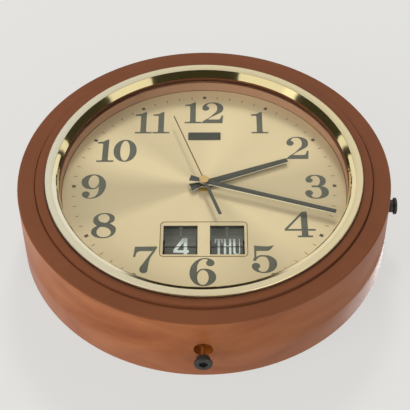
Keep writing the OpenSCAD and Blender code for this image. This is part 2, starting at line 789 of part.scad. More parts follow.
module second_weight() {
  hung() color("darkslategray") translate([0, 0, second_z]) rotate([0, 0, -second_angle])
    block([-weight_w / 2, -weight_len, 0], [weight_w / 2, -2.05, 0.6]);
}

module second_cap() {
  hung() color("peru") translate([0, 0, second_z + 0.6]) rotate_extrude()
    polygon(concat([[0, 0], [cap_r, 0]], arc(cap_r - 0.6, 0.4, 0.6, 0, 80, 4), [[0, 1.05]]));
}

module seconds_arbor() {
  pinion_low_z = third_wheel_z - 0.6;
  hung() color("silver") {
    rod(arbor_r, back_plate_z, second_z + 0.5);
    spoked_wheel(seconds_teeth, seconds_module, 0, seconds_wheel_z, seconds_wheel_z + wheel_t, escape_angle);
    gear(pinion_small, third_module, 0, pinion_low_z, pinion_low_z + 2.4, 180 / pinion_small + third_angle);
  }
}

// ---- Movement ----

module arbor_at(pos, z0, z1) {
  translate([pos[0], pos[1], 0]) rod(arbor_r - 0.1, z0, z1);
}

module third_wheel() {
  hung() color("goldenrod") translate([third_pos[0], third_pos[1], 0]) {
    rod(arbor_r - 0.1, back_plate_z, front_plate_top_z);
    spoked_wheel(third_teeth, third_module, 0, third_wheel_z, third_wheel_z + wheel_t, third_angle + 180);
    gear(pinion_small, centre_module, 0, centre_wheel_z - 0.6, centre_wheel_z + 2, third_angle + 180 + 180 / pinion_small);
  }
}

module escape_wheel() {
  wheel_z = seconds_wheel_z + 4;
  hung() color("goldenrod") translate([escape_pos[0], escape_pos[1], 0]) {
    rod(arbor_r - 0.1, back_plate_z, front_plate_top_z);
    gear(pinion_escape, seconds_module, 0, seconds_wheel_z - 0.6, seconds_wheel_z + 2, escape_angle + 180 + 180 / pinion_escape);
    translate([0, 0, wheel_z]) linear_extrude(wheel_t) polygon([
      for (i = [0:escape_teeth - 1]) each [
        escape_r * [cos(i * 24), sin(i * 24)],
        (escape_r - 1.6) * [cos(i * 24 + 5), sin(i * 24 + 5)],
        (escape_r - 1.6) * [cos(i * 24 + 16), sin(i * 24 + 16)]
      ]]);
  }
}

module minute_wheel() {
  hung() color("goldenrod") translate([minute_wheel_pos[0], minute_wheel_pos[1], 0]) {
    gear(minute_wheel_teeth, motion_module, 0, motion_low_z, motion_low_z + motion_wheel_t, minute_wheel_turn);
    gear(minute_pinion_teeth, hour_module, 0, motion_high_z, motion_high_z + motion_wheel_t, 180 + 180 / minute_pinion_teeth);
    rod(arbor_r, front_plate_z, motion_high_z + motion_wheel_t + 0.5);
  }
}

module setting_wheel() {
  mesh_angle = atan2(-time_knob_y, setting_pos[0] - motion_dist);
  mesh_turn = mesh_angle + 180 + 180 / setting_teeth
    - (minute_wheel_turn - mesh_angle) * minute_wheel_teeth / setting_teeth;
  disc_z = setting_crown_z + crown_module;
  hung() color("goldenrod") translate([setting_pos[0], setting_pos[1], 0]) {
    gear(setting_teeth, motion_module, 0, motion_low_z, motion_low_z + motion_wheel_t, mesh_turn);
    rod(arbor_r, setting_crown_z - 1, motion_low_z + motion_wheel_t + 0.6);
    translate([0, 0, disc_z]) crown_ring(crown_teeth, crown_module, crown_face);
    rod(setting_crown_r + crown_face / 2, disc_z, disc_z + wheel_t);
  }
}

module balance_wheel() {
  magnet_r = 2.2;
  high_z = balance_low_z + wheel_t + balance_gap;
  hung() color("darkkhaki") translate([balance_pos[0], balance_pos[1], 0]) {
    rod(arbor_r - 0.1, back_plate_z, front_plate_top_z);
    rod(1.6, balance_low_z, high_z + wheel_t);
    rod(balance_r, balance_low_z, balance_low_z + wheel_t);
    rod(balance_r, high_z, high_z + wheel_t);
    for (a = [30, 150, 210, 330]) rotate([0, 0, a]) translate([balance_r - 3, 0, 0]) {
      rod(magnet_r, balance_low_z + wheel_t - cut, balance_low_z + wheel_t + 0.6);
      rod(magnet_r, high_z - 0.6, high_z + cut);
    }
  }
}

module drive_coil() {
  hung() color("chocolate") translate([coil_pos[0], coil_pos[1], 0])
    tube(coil_r, coil_bore_r, coil_z, coil_z + coil_t);
}

module circuit_board() {
  hung() {
    color("darkgreen") difference() {
      block([board_x0, board_y0, board_z], [board_x1, board_y1, board_z + board_t]);
      translate([coil_pos[0], coil_pos[1], 0]) rod(coil_r + seat_gap, board_z - skin, board_z + board_t + skin);
      for (p = board_posts) translate([p[0], p[1], 0]) rod(0.9, board_z - skin, board_z + board_t + skin);
    }
    color("black") {
      translate([lead_x, board_y1 - 4, 0]) rod(2.4, board_z - 3.6, board_z);
      translate([board_x1 - 9, board_y0 + 5, 0]) rod(3, board_z - 8, board_z);
      block([board_x1 - 4.5, board_y1 - 10, board_z - 2.2], [board_x1 - 2.5, board_y1 - 5, board_z]);
    }
  }
}

module plate_outline(z0, z1) {
  translate([0, (plate_high - plate_low) / 2, 0])
    rounded_plate(plate_w, plate_high + plate_low, 3, z0, z1);
}

pillar_spots = [
  for (x = [-1, 1], y = [-plate_low + pillar_in, plate_high - pillar_in])
    [x * (plate_w / 2 - pillar_in), y]
];

module front_plate() {
  lug_x = setting_pos[0] + setting_crown_r + crown_face / 2 + 1.2;
  hung() color("tan") difference() {
    union() {
      plate_outline(front_plate_z, front_plate_top_z);
      for (p = pillar_spots) translate([p[0], p[1], 0]) rod(pillar_r, front_plate_top_z - cut, carrier_z);
      for (p = board_posts) translate([p[0], p[1], 0]) {
        rod(1.8, board_z + board_t, front_plate_z + cut);
        rod(0.8, board_z, board_z + board_t + cut);
      }
      block([lug_x, -time_knob_y - 3.5, knob_z - 3.5], [lug_x + 2, -time_knob_y + 3.5, front_plate_z + cut]);
    }
    for (p = pillar_spots) translate([p[0], p[1], 0])
      rod(pillar_screw_r + seat_gap, front_plate_z - skin, carrier_z + skin);
    rod(minute_tube_r + running_fit, front_plate_z - skin, front_plate_top_z + skin);
    for (p = [third_pos, escape_pos, balance_pos]) translate([p[0], p[1], 0])
      rod(arbor_r - 0.1 + running_fit, front_plate_z - skin, front_plate_top_z + skin);
    for (p = [minute_wheel_pos, setting_pos]) translate([p[0], p[1], 0])
      rod(arbor_r + running_fit, front_plate_z - skin, front_plate_top_z + skin);
    translate([lug_x - skin, -time_knob_y, knob_z]) rotate([0, 90, 0]) cylinder(r = shaft_bore_r, h = 2 + 2 * skin);
  }
}

module back_plate() {
  hung() color("tan") difference() {
    plate_outline(back_plate_z, back_plate_top_z);
    for (p = pillar_spots) translate([p[0], p[1], 0])
      rod(pillar_screw_r + seat_gap, back_plate_z - skin, back_plate_top_z + skin);
    rod(arbor_r + running_fit, back_plate_z - skin, back_plate_top_z + skin);
    for (p = [third_pos, escape_pos, balance_pos]) translate([p[0], p[1], 0])
      rod(arbor_r - 0.1 + running_fit, back_plate_z - skin, back_plate_top_z + skin);
  }
}

module pillars() {
  hung() color("darkgray") for (p = pillar_spots) translate([p[0], p[1], 0])
    tube(pillar_r, pillar_screw_r + seat_gap, back_plate_top_z, front_plate_z);
}

module movement_screws() {
  hung() color("silver") for (p = pillar_spots) translate([p[0], p[1], 0]) {
    rod(pillar_screw_r, back_plate_z - cut, carrier_z);
    difference() {
      rod(pillar_screw_r * 2, back_plate_z - 1.4, back_plate_z);
      block([-pillar_r - 1, -0.3, back_plate_z - 2], [pillar_r + 1, 0.3, back_plate_z - 0.9]);
    }
  }
}

module dust_cover() {
  low_z = back_plate_z - 3;
  w = plate_w + 2 * (fit_gap + dust_wall);
  h = plate_high + plate_low + 2 * (fit_gap + dust_wall);
  hung() color("gainsboro", 0.6) difference() {
    translate([0, (plate_high - plate_low) / 2, 0]) difference() {
      rounded_plate(w, h, 4, low_z - dust_wall, front_plate_top_z);
      rounded_plate(w - 2 * dust_wall, h - 2 * dust_wall, 3, low_z, front_plate_top_z + skin);
    }
    translate([plate_w / 2 - skin, -time_knob_y, knob_z]) rotate([0, 90, 0]) cylinder(r = shaft_r + 1, h = 6);
    for (x = [-4, 4]) translate([lead_x + x, plate_high - skin, board_z - 1]) rotate([-90, 0, 0])
      cylinder(r = 1, h = 6);
  }
}

// ---- Setting shafts ----

// A knob drawn along +Z with its face at z = 0 and its neck towards -Z
module knob() {
  flange_t = 2.6;
  rotate_extrude() polygon([
    [shaft_r, -knob_len], [knob_neck_r - 0.4, -knob_len], [knob_neck_r, -knob_len + 0.4],
    [knob_neck_r, -flange_t - 0.4], [knob_r - 0.3, -flange_t], [knob_r, -flange_t + 0.3],
    [knob_r, -0.6], [knob_r - 0.6, 0], [3.7, 0], [3.4, -0.5], [3.4, -2.8], [shaft_r, -2.8]]);
}

module time_shaft() {
  end_x = setting_pos[0] + setting_crown_r - crown_face / 2 - 0.3;
  hung() color("silver") translate([0, -time_knob_y, knob_z]) rotate([0, 90, 0]) {
    rod(shaft_r, end_x, time_knob_reach - 1.6);
    gear(crown_pinion_teeth, crown_module, 0, end_x, end_x + crown_face + 0.6, 180 / crown_pinion_teeth);
  }
}

module time_knob() {
  hung() color("dimgray") translate([time_knob_reach, -time_knob_y, knob_z]) rotate([0, 90, 0]) knob();
}

// An L-shaped foot with an ear, bored for a shaft; the ear lies across +Z of the shaft
module ear(pos, along_x) {
  half = shaft_r + 3;
  if (along_x)
    block([pos[0], pos[1] - half, knob_z - half], [pos[0] + bracket_wall, pos[1] + half, carrier_z]);
  else
    block([pos[0] - half, pos[1], drum_z - half], [pos[0] + half, pos[1] + bracket_wall, carrier_z]);
}

bracket_spots = [
  [time_bracket_x - 5, time_bracket_y], [0, -cal_bracket_near - 8], [0, -cal_bracket_far + 7]
];
frame_tab = 7;
frame_tab_h = 8;
frame_spots = [for (s = [-1, 1], y = [frame_low_y + frame_tab_h / 2, frame_top_y - frame_tab_h / 2]) [s * (frame_x + frame_tab / 2), y]];

module time_shaft_bracket() {
  hung() color("darkgray") difference() {
    union() {
      ear([time_bracket_x, time_bracket_y], true);
      block([time_bracket_x - 10, time_bracket_y - 4.5, carrier_z - bracket_foot_t],
        [time_bracket_x + bracket_wall, time_bracket_y + 4.5, carrier_z]);
    }
    translate([time_bracket_x - skin, time_bracket_y, knob_z]) rotate([0, 90, 0])
      cylinder(r = shaft_bore_r, h = bracket_wall + 2 * skin);
    translate([bracket_spots[0][0], bracket_spots[0][1], 0])
      rod(screw_r + seat_gap, carrier_z - bracket_foot_t - skin, carrier_z + skin);
  }
}

module calendar_shaft() {
  top_y = -window_y - cal_crown_r + cal_face / 2 + 0.2;
  hung() color("silver") translate([0, 0, drum_z]) rotate([90, 0, 0]) {
    rod(shaft_r, -top_y, calendar_knob_reach - 1.6);
    gear(crown_pinion_teeth, cal_module, 0, -top_y, -top_y + cal_face + 0.4, 180 / crown_pinion_teeth);
  }
}

module calendar_knob() {
  hung() color("dimgray") translate([0, -calendar_knob_reach, drum_z]) rotate([90, 0, 0]) knob();
}

module calendar_shaft_bracket() {
  hung() color("darkgray") difference() {
    union() {
      ear([0, -cal_bracket_near], false);
      ear([0, -cal_bracket_far], false);
      block([-4.5, -cal_bracket_far, carrier_z - bracket_foot_t],
        [4.5, -cal_bracket_near + bracket_wall, carrier_z]);
    }
    translate([0, -cal_bracket_near + 2 * bracket_wall, drum_z]) rotate([90, 0, 0])
      cylinder(r = shaft_bore_r, h = cal_bracket_far - cal_bracket_near + 3 * bracket_wall);
    for (i = [1, 2]) translate([bracket_spots[i][0], bracket_spots[i][1], 0])
      rod(screw_r + seat_gap, carrier_z - bracket_foot_t - skin, carrier_z + skin);
  }
}

module bracket_screws() {
  hung() color("silver") for (p = concat(bracket_spots, frame_spots))
    translate([p[0], p[1], carrier_z - bracket_foot_t]) screw(bracket_foot_t);
}

// ---- Calendar ----

module calendar_frame() {
  hung() color("lightgray") difference() {
    union() {
      block([-frame_x, frame_top_y - frame_bar_h, leaf_z - 3], [frame_x, frame_top_y, carrier_z]);
      for (s = [-1, 1]) {
        block([min(s * cheek_x, s * frame_x), frame_low_y, frame_back_z],
          [max(s * cheek_x, s * frame_x), frame_top_y, carrier_z]);
        for (y = [frame_low_y, frame_top_y - frame_tab_h])
          block([min(s * cheek_x, s * (frame_x + frame_tab)), y, carrier_z - bracket_foot_t],
            [max(s * cheek_x, s * (frame_x + frame_tab)), y + frame_tab_h, carrier_z]);
      }
    }
    translate([-frame_x - skin, -window_y, drum_z]) rotate([0, 90, 0])
      cylinder(r = drum_arbor_r + 0.01, h = 2 * (frame_x + skin));
    for (p = frame_spots) translate([p[0], p[1], 0])
      rod(screw_r + seat_gap, carrier_z - bracket_foot_t - skin, carrier_z + skin);
  }
}

module drum_arbor() {
  hung() color("silver") translate([-frame_x - 0.5, -window_y, drum_z]) rotate([0, 90, 0])
    cylinder(r = drum_arbor_r, h = 2 * frame_x + 1);
}

// A drive wheel of the calendar, on the side s of the middle plane, teeth inwards
module drive_wheel(s) {
  hung() color("goldenrod") translate([0, -window_y, drum_z]) rotate([0, s * 90, 0])
    difference() {
      union() {
        translate([0, 0, cal_pinion_r + cal_module]) {
          crown_ring(crown_teeth, cal_module, cal_face);
          rod(cal_crown_r + cal_face / 2, 0, 0.8);
        }
      }
      rod(drum_arbor_r + running_fit, 0, 10);
    }
}

module date_drive_wheel() {
  drive_wheel(-1);
}

module day_drive_wheel() {
  drive_wheel(1);
}

// A drum: a hub with a notched disc at each end of the leaves
module drum(s, leaves) {
  step = 360 / leaves;
  hung() color("dimgray") translate([0, -window_y, drum_z]) rotate([0, s * 90, 0]) difference() {
    union() {
      rod(drum_hub_r, drum_in_x, drum_out_x);
      for (x = [drum_in_x, drum_out_x - drum_disc_t]) rod(drum_r + drum_rim, x, x + drum_disc_t);
    }
    rod(drum_arbor_r + running_fit, drum_in_x - skin, drum_out_x + skin);
    for (i = [0:leaves - 1]) rotate([0, 0, i * step]) translate([drum_r, 0, 0])
      rod(leaf_t * 0.6, drum_in_x - skin, drum_out_x + skin);
  }
}

module date_drum() {
  drum(-1, date_leaves);
}

module day_drum() {
  drum(1, day_leaves);
}

// One leaf, drawn from its hinge at the origin along +Y, notched for the spring finger
module leaf() {
  notch = finger_w / 2 + 0.4;
  notch_h = finger_lap + 0.4;
  linear_extrude(leaf_t, center = true) polygon([
    [-leaf_w / 2, 0.3], [leaf_w / 2, 0.3], [leaf_w / 2, leaf_len - 0.6], [leaf_w / 2 - 0.6, leaf_len],
    [notch, leaf_len], [notch, leaf_len - notch_h], [-notch, leaf_len - notch_h], [-notch, leaf_len],
    [-leaf_w / 2 + 0.6, leaf_len], [-leaf_w / 2, leaf_len - 0.6]]);
}

// The upper leaf of a window, the one that falls
module falling_leaf(s) {
  hung() color("dimgray") translate([s * window_x, -window_y, leaf_z - leaf_t / 2]) leaf();
}

module date_leaf() {
  falling_leaf(-1);
}

module day_leaf() {
  falling_leaf(1);
}

// The other leaves: those above lean on each other, the rest hang down round the drum
module leaf_pack(s, leaves) {
  step = 360 / leaves;
  upright = floor(84 / step);
  lean = 0.55;
  droop = 0.32;
  crowded = acos(1 - (leaf_t * 2 + leaf_gap) / drum_r);
  hung() color("dimgray") translate([s * window_x, -window_y, drum_z]) {
    for (k = [1:upright]) if (k * step > crowded) let (
      hinge_y = drum_r * sin(k * step),
      hinge_z = drum_r * cos(k * step) - leaf_t / 2,
      top_z = drum_r - leaf_t / 2 - lean * k
    ) translate([0, hinge_y, hinge_z]) rotate([asin((top_z - hinge_z) / leaf_len), 0, 0]) leaf();
    for (k = [0:leaves - upright - 2]) let (
      a = k * step,
      hinge_y = -drum_r * sin(a),
      hinge_z = drum_r * cos(a) - leaf_t / 2 - (k == 0 ? leaf_gap : 0)
    ) if (k == 0 || (a > crowded && a < 250)) translate([0, hinge_y, hinge_z])
      rotate([180 + droop * max(0, a - 60), 0, 0]) leaf();
  }
}

module date_leaf_pack() {
  leaf_pack(-1, date_leaves);
}

module day_leaf_pack() {
  leaf_pack(1, day_leaves);
}

module leaf_fingers() {
  hung() color("darkkhaki") for (s = [-1, 1]) translate([s * window_x, 0, 0]) {
    block([-finger_w / 2, finger_tip_y, finger_z], [finger_w / 2, finger_root_y, finger_z + finger_t]);
    block([-finger_w / 2 - finger_foot, finger_root_y - finger_t, finger_z - 2 * finger_foot],
      [finger_w / 2 + finger_foot, finger_root_y, finger_z + finger_t]);
  }
}

// ---- Battery ----

module battery_tray() {
  hung() color("beige") translate([0, tray_y, 0]) difference() {
    block([-tray_x, -tray_hy, cover_top_z + seat_gap], [tray_x, tray_hy, carrier_z]);
    block([-tray_in_w / 2, -tray_in_h / 2, cover_top_z - skin],
      [tray_in_w / 2, tray_in_h / 2, tray_floor_z]);
    block([-tray_in_w / 2, -tray_in_h / 2, tray_floor_z + tray_wall],
      [tray_in_w / 2, tray_in_h / 2, carrier_z + skin]);
    for (x = [-4, 4]) translate([lead_x + x, -tray_hy - skin, board_z - 1]) rotate([-90, 0, 0])
      cylinder(r = 0.8, h = tray_wall + 2 * skin);
  }
}

module battery_contacts() {
  hung() color("silver") translate([0, tray_y, cell_z]) {
    for (s = [-1, 1])
      block([min(s * tray_in_w / 2, s * (tray_in_w / 2 - contact_t)), -contact_half_w, -contact_half_h],
        [max(s * tray_in_w / 2, s * (tray_in_w / 2 - contact_t)), contact_half_w, contact_half_h]);
    translate([tray_in_w / 2 - contact_t, 0, 0]) rotate([0, -90, 0])
      cylinder(r1 = contact_half_w - 1, r2 = contact_half_w / 2, h = (tray_in_w - cell_len) / 2 - contact_t - 0.2);
  }
}

module dry_cell() {
  hung() {
    color("indianred") translate([-cell_len / 2, tray_y, cell_z]) rotate([0, 90, 0])
      cylinder(r = cell_r, h = cell_len);
    color("silver") translate([-cell_len / 2 - 1.5, tray_y, cell_z]) rotate([0, 90, 0])
      cylinder(r = 4, h = 1.6);
  }
}

module battery_leads() {
  lead_r = 0.6;
  top_y = tray_y - tray_hy + tray_wall;
  hung() for (i = [0, 1]) color(i == 0 ? "red" : "black")
    translate([lead_x + (i == 0 ? -4 : 4), board_y1 - 3, board_z - 1]) rotate([-90, 0, 0])
      cylinder(r = lead_r, h = top_y - board_y1 + 3);
}

// ---- Back ----

module rear_cover() {
  ring_r = cover_r - ledge_w - 2;
  ring_h = 0.8;
  hung() color("saddlebrown") difference() {
    union() {
      rod_round(cover_r, cover_inset, cover_top_z);
      difference() {
        tube(ring_r, ring_r - 1.5, cover_inset - ring_h, cover_inset + skin);
        block([-hanger_half_w - wing_w - 1, hanger_low_y - 1, cover_inset - ring_h - skin],
          [hanger_half_w + wing_w + 1, cover_r, cover_inset]);
      }
    }
    translate([0, tray_y, 0]) {
      rounded_plate(door_w, door_h, 2, cover_inset - skin, cover_top_z + skin);
      rounded_plate(door_w + 2 * door_lip, door_h + 2 * door_lip, 3, cover_inset - skin, cover_inset + door_lip_t);
    }
    translate([0, hanger_y, 0]) {
      rod(relief_w / 2, cover_inset - skin, cover_top_z + skin);
      block([-relief_w / 2, 0, cover_inset - skin], [relief_w / 2, keyhole_slot_len + 3, cover_top_z + skin]);
    }
    for (a = cover_screw_angles) rotate([0, 0, a]) translate([cover_screw_r, 0, 0])
      rod(screw_r + seat_gap, cover_inset - skin, cover_top_z + skin);
    for (s = [-1, 1]) translate([s * wing_screw_x, wing_screw_y, 0])
      rod(screw_r, cover_inset - skin, cover_top_z + skin);
    for (i = [-5:5]) translate([i * 6, -70, 0])
      rounded_plate(2.4, 36, 1.2, cover_inset - skin, cover_top_z + skin);
  }
}

module battery_door() {
  hung() color("sienna") translate([0, tray_y, 0]) difference() {
    union() {
      rounded_plate(door_w + 2 * (door_lip - fit_gap), door_h + 2 * (door_lip - fit_gap), 2.7,
        cover_inset, cover_inset + door_lip_t);
      rounded_plate(door_w - 2 * fit_gap, door_h - 2 * fit_gap, 1.7, cover_inset, cover_top_z);
    }
    for (i = [-3:3]) block([-9, i * 2 - 0.4 - door_h / 2 + 9, cover_inset - skin],
      [9, i * 2 + 0.4 - door_h / 2 + 9, cover_inset + 0.5]);
  }
}

module rear_screws() {
  hung() color("silver") {
    for (a = cover_screw_angles) rotate([0, 0, a]) translate([cover_screw_r, 0, cover_inset])
      screw(cover_t + screw_grip);
    for (s = [-1, 1]) translate([s * wing_screw_x, wing_screw_y, cover_inset - hanger_t])
      screw(cover_t + hanger_t);
  }
}

module hanger_plate() {
  hung() color("silver") difference() {
    union() {
      block([-hanger_half_w, hanger_low_y, 0], [hanger_half_w, hanger_top_y, hanger_t]);
      for (s = [-1, 1]) {
        block([min(s * hanger_half_w, s * (hanger_half_w + hanger_t)), hanger_low_y, 0],
          [max(s * hanger_half_w, s * (hanger_half_w + hanger_t)), hanger_top_y, cover_inset]);
        block([min(s * hanger_half_w, s * (hanger_half_w + wing_w)), hanger_low_y, cover_inset - hanger_t],
          [max(s * hanger_half_w, s * (hanger_half_w + wing_w)), hanger_top_y, cover_inset]);
      }
    }
    translate([0, hanger_y, 0]) {
      rod(keyhole_r, -skin, hanger_t + skin);
      translate([0, keyhole_slot_len, 0]) rod(keyhole_slot_w / 2, -skin, hanger_t + skin);
      block([-keyhole_slot_w / 2, 0, -skin], [keyhole_slot_w / 2, keyhole_slot_len, hanger_t + skin]);
    }
    for (s = [-1, 1]) translate([s * wing_screw_x, wing_screw_y, 0])
      rod(screw_r + seat_gap, 0, cover_inset + skin);
  }
}

case_body();
bezel_ring();
bezel_screws();
trim_ring();
lens();
lens_gasket();
dial_surround();
dial_plate();
calendar_bezel();
carrier_plate();
dial_screws();
badge_plate();
centre_bush();
centre_nut();
hour_hand();
hour_wheel();
minute_hand();
centre_wheel();
second_hand();
second_weight();
second_cap();
seconds_arbor();
third_wheel();
escape_wheel();
minute_wheel();
setting_wheel();
balance_wheel();
drive_coil();
circuit_board();
battery_leads();
front_plate();
back_plate();
pillars();
movement_screws();
dust_cover();
time_shaft();
time_knob();
time_shaft_bracket();
calendar_shaft();
calendar_knob();
calendar_shaft_bracket();
calendar_frame();
bracket_screws();
drum_arbor();
date_drive_wheel();
day_drive_wheel();
date_drum();
day_drum();
date_leaf();
day_leaf();
date_leaf_pack();
day_leaf_pack();
leaf_fingers();
battery_tray();
battery_contacts();
dry_cell();
rear_cover();
battery_door();
rear_screws();
hanger_plate();
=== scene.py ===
"""The looks of a round wall clock with a flip calendar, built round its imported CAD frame.

Everything is in metres in the row frame: +Z is up to twelve o'clock, the dial faces -Y and the
wall is the plane y = 0. What is drawn on the dial is written in millimetres from the clock's
axis and passes through on_dial().
"""

import json
import math

import bmesh
import bpy
from mathutils import Matrix, Vector
from mathutils.geometry import tessellate_polygon


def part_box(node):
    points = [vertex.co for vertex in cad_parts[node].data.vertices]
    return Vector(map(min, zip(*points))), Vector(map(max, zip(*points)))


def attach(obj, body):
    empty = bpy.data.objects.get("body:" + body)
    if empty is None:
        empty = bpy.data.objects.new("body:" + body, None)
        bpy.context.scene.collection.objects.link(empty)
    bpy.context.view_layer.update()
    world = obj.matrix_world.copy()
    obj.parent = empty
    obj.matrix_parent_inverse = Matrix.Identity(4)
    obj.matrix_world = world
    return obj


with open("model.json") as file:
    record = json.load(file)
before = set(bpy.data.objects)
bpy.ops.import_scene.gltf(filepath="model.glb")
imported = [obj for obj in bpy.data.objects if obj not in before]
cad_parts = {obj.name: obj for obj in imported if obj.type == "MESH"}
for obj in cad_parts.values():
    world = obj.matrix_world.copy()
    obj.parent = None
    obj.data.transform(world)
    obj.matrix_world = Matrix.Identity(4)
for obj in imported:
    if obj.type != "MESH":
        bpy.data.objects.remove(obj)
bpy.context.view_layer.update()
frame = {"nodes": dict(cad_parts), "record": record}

MM = 0.001

# ---- Places taken from the frame ----

DIAL_LOW, DIAL_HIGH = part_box("dial_plate")
AXIS_Z = (DIAL_LOW.z + DIAL_HIGH.z) / 2
DIAL_Y = DIAL_LOW.y
LEAF_LOW, LEAF_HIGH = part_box("date_leaf")
DAY_LOW, DAY_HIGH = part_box("day_leaf")
LEAF_Y = LEAF_LOW.y
SPLIT_Z = LEAF_LOW.z
LOWER_LEAF_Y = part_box("date_leaf_pack")[0].y
INSERT_LOW, INSERT_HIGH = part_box("calendar_bezel")
TRIM_LOW, TRIM_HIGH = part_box("trim_ring")
TUNNEL_LOW, TUNNEL_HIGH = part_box("dial_surround")
KNOB_LOW, KNOB_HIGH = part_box("calendar_knob")

# ---- Meshes ----

MERGE_DISTANCE = 1e-7


def mesh_piece(name, verts, faces, material, body="root", cut=None):
    """A new closed mesh object that rides on a body. cut() may take some of its mesh away."""
    mesh = bpy.data.meshes.new(name)
    mesh.from_pydata(verts, [], faces)
    mesh.validate()
    mesh.materials.append(material)
    work = bmesh.new()
    work.from_mesh(mesh)
    bmesh.ops.remove_doubles(work, verts=work.verts, dist=MERGE_DISTANCE)
    bmesh.ops.recalc_face_normals(work, faces=work.faces)
    if cut:
        cut(work)
        bmesh.ops.recalc_face_normals(work, faces=work.faces)
    work.to_mesh(mesh)
    work.free()
    obj = bpy.data.objects.new(name, mesh)
    bpy.context.scene.collection.objects.link(obj)
    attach(obj, body)


def solid_outlines(shapes, front_y, back_y):
    """Vertices and faces of flat plates. Each shape is a list of contours, the first one its rim.

    Contour points are (x, z) in metres in the row frame; the plate lies between two y values.
    """
    verts, faces = [], []
    for contours in shapes:
        flat = [point for contour in contours for point in contour]
        base = len(verts)
        count = len(flat)
        verts += [(x, front_y, z) for x, z in flat]
        verts += [(x, back_y, z) for x, z in flat]
        triangles = tessellate_polygon([[Vector((x, z, 0)) for x, z in c] for c in contours])
        for a, b, c in triangles:
            faces.append((base + a, base + b, base + c))
            faces.append((base + count + c, base + count + b, base + count + a))
        start = base
        for contour in contours:
            n = len(contour)
            for i in range(n):
                j = (i + 1) % n
                faces.append((start + i, start + j, start + count + j, start + count + i))
            start += n
    return verts, faces


# ---- Outlines of figures ----
#
# A contour is a list of nodes. (x, y) is a corner, (x, y, heading) a smooth node whose heading
# is in degrees, and (x, y, heading_in, heading_out) a corner with curved sides; None is straight.

CURVE_STEPS = 7
ROUNDNESS = 0.56
LEAST_REACH = 0.2


def headings(node):
    """The headings into and out of a node."""
    if len(node) == 2:
        return None, None
    if len(node) == 3:
        return node[2], node[2]
    return node[2], node[3]


def handle(chord, heading):
    """From a node to its curve's control point, at least a share of the chord away."""
    along = Vector((math.cos(math.radians(heading)), math.sin(math.radians(heading))))
    return along * max(abs(chord.dot(along)), chord.length * LEAST_REACH) * ROUNDNESS


def contour(nodes):
    """Points along the contour through the nodes."""
    points = []
    for i, node in enumerate(nodes):
        after = nodes[(i + 1) % len(nodes)]
        p0 = Vector(node[:2])
        p3 = Vector(after[:2])
        leave, arrive = headings(node)[1], headings(after)[0]
        points.append(tuple(p0))
        if leave is None and arrive is None:
            continue
        p1 = p0 if leave is None else p0 + handle(p3 - p0, leave)
        p2 = p3 if arrive is None else p3 - handle(p3 - p0, arrive)
        for k in range(1, CURVE_STEPS):
            t = k / CURVE_STEPS
            u = 1 - t
            q = p0 * u**3 + p1 * 3 * u * u * t + p2 * 3 * u * t * t + p3 * t**3
            points.append(tuple(q))
    return points


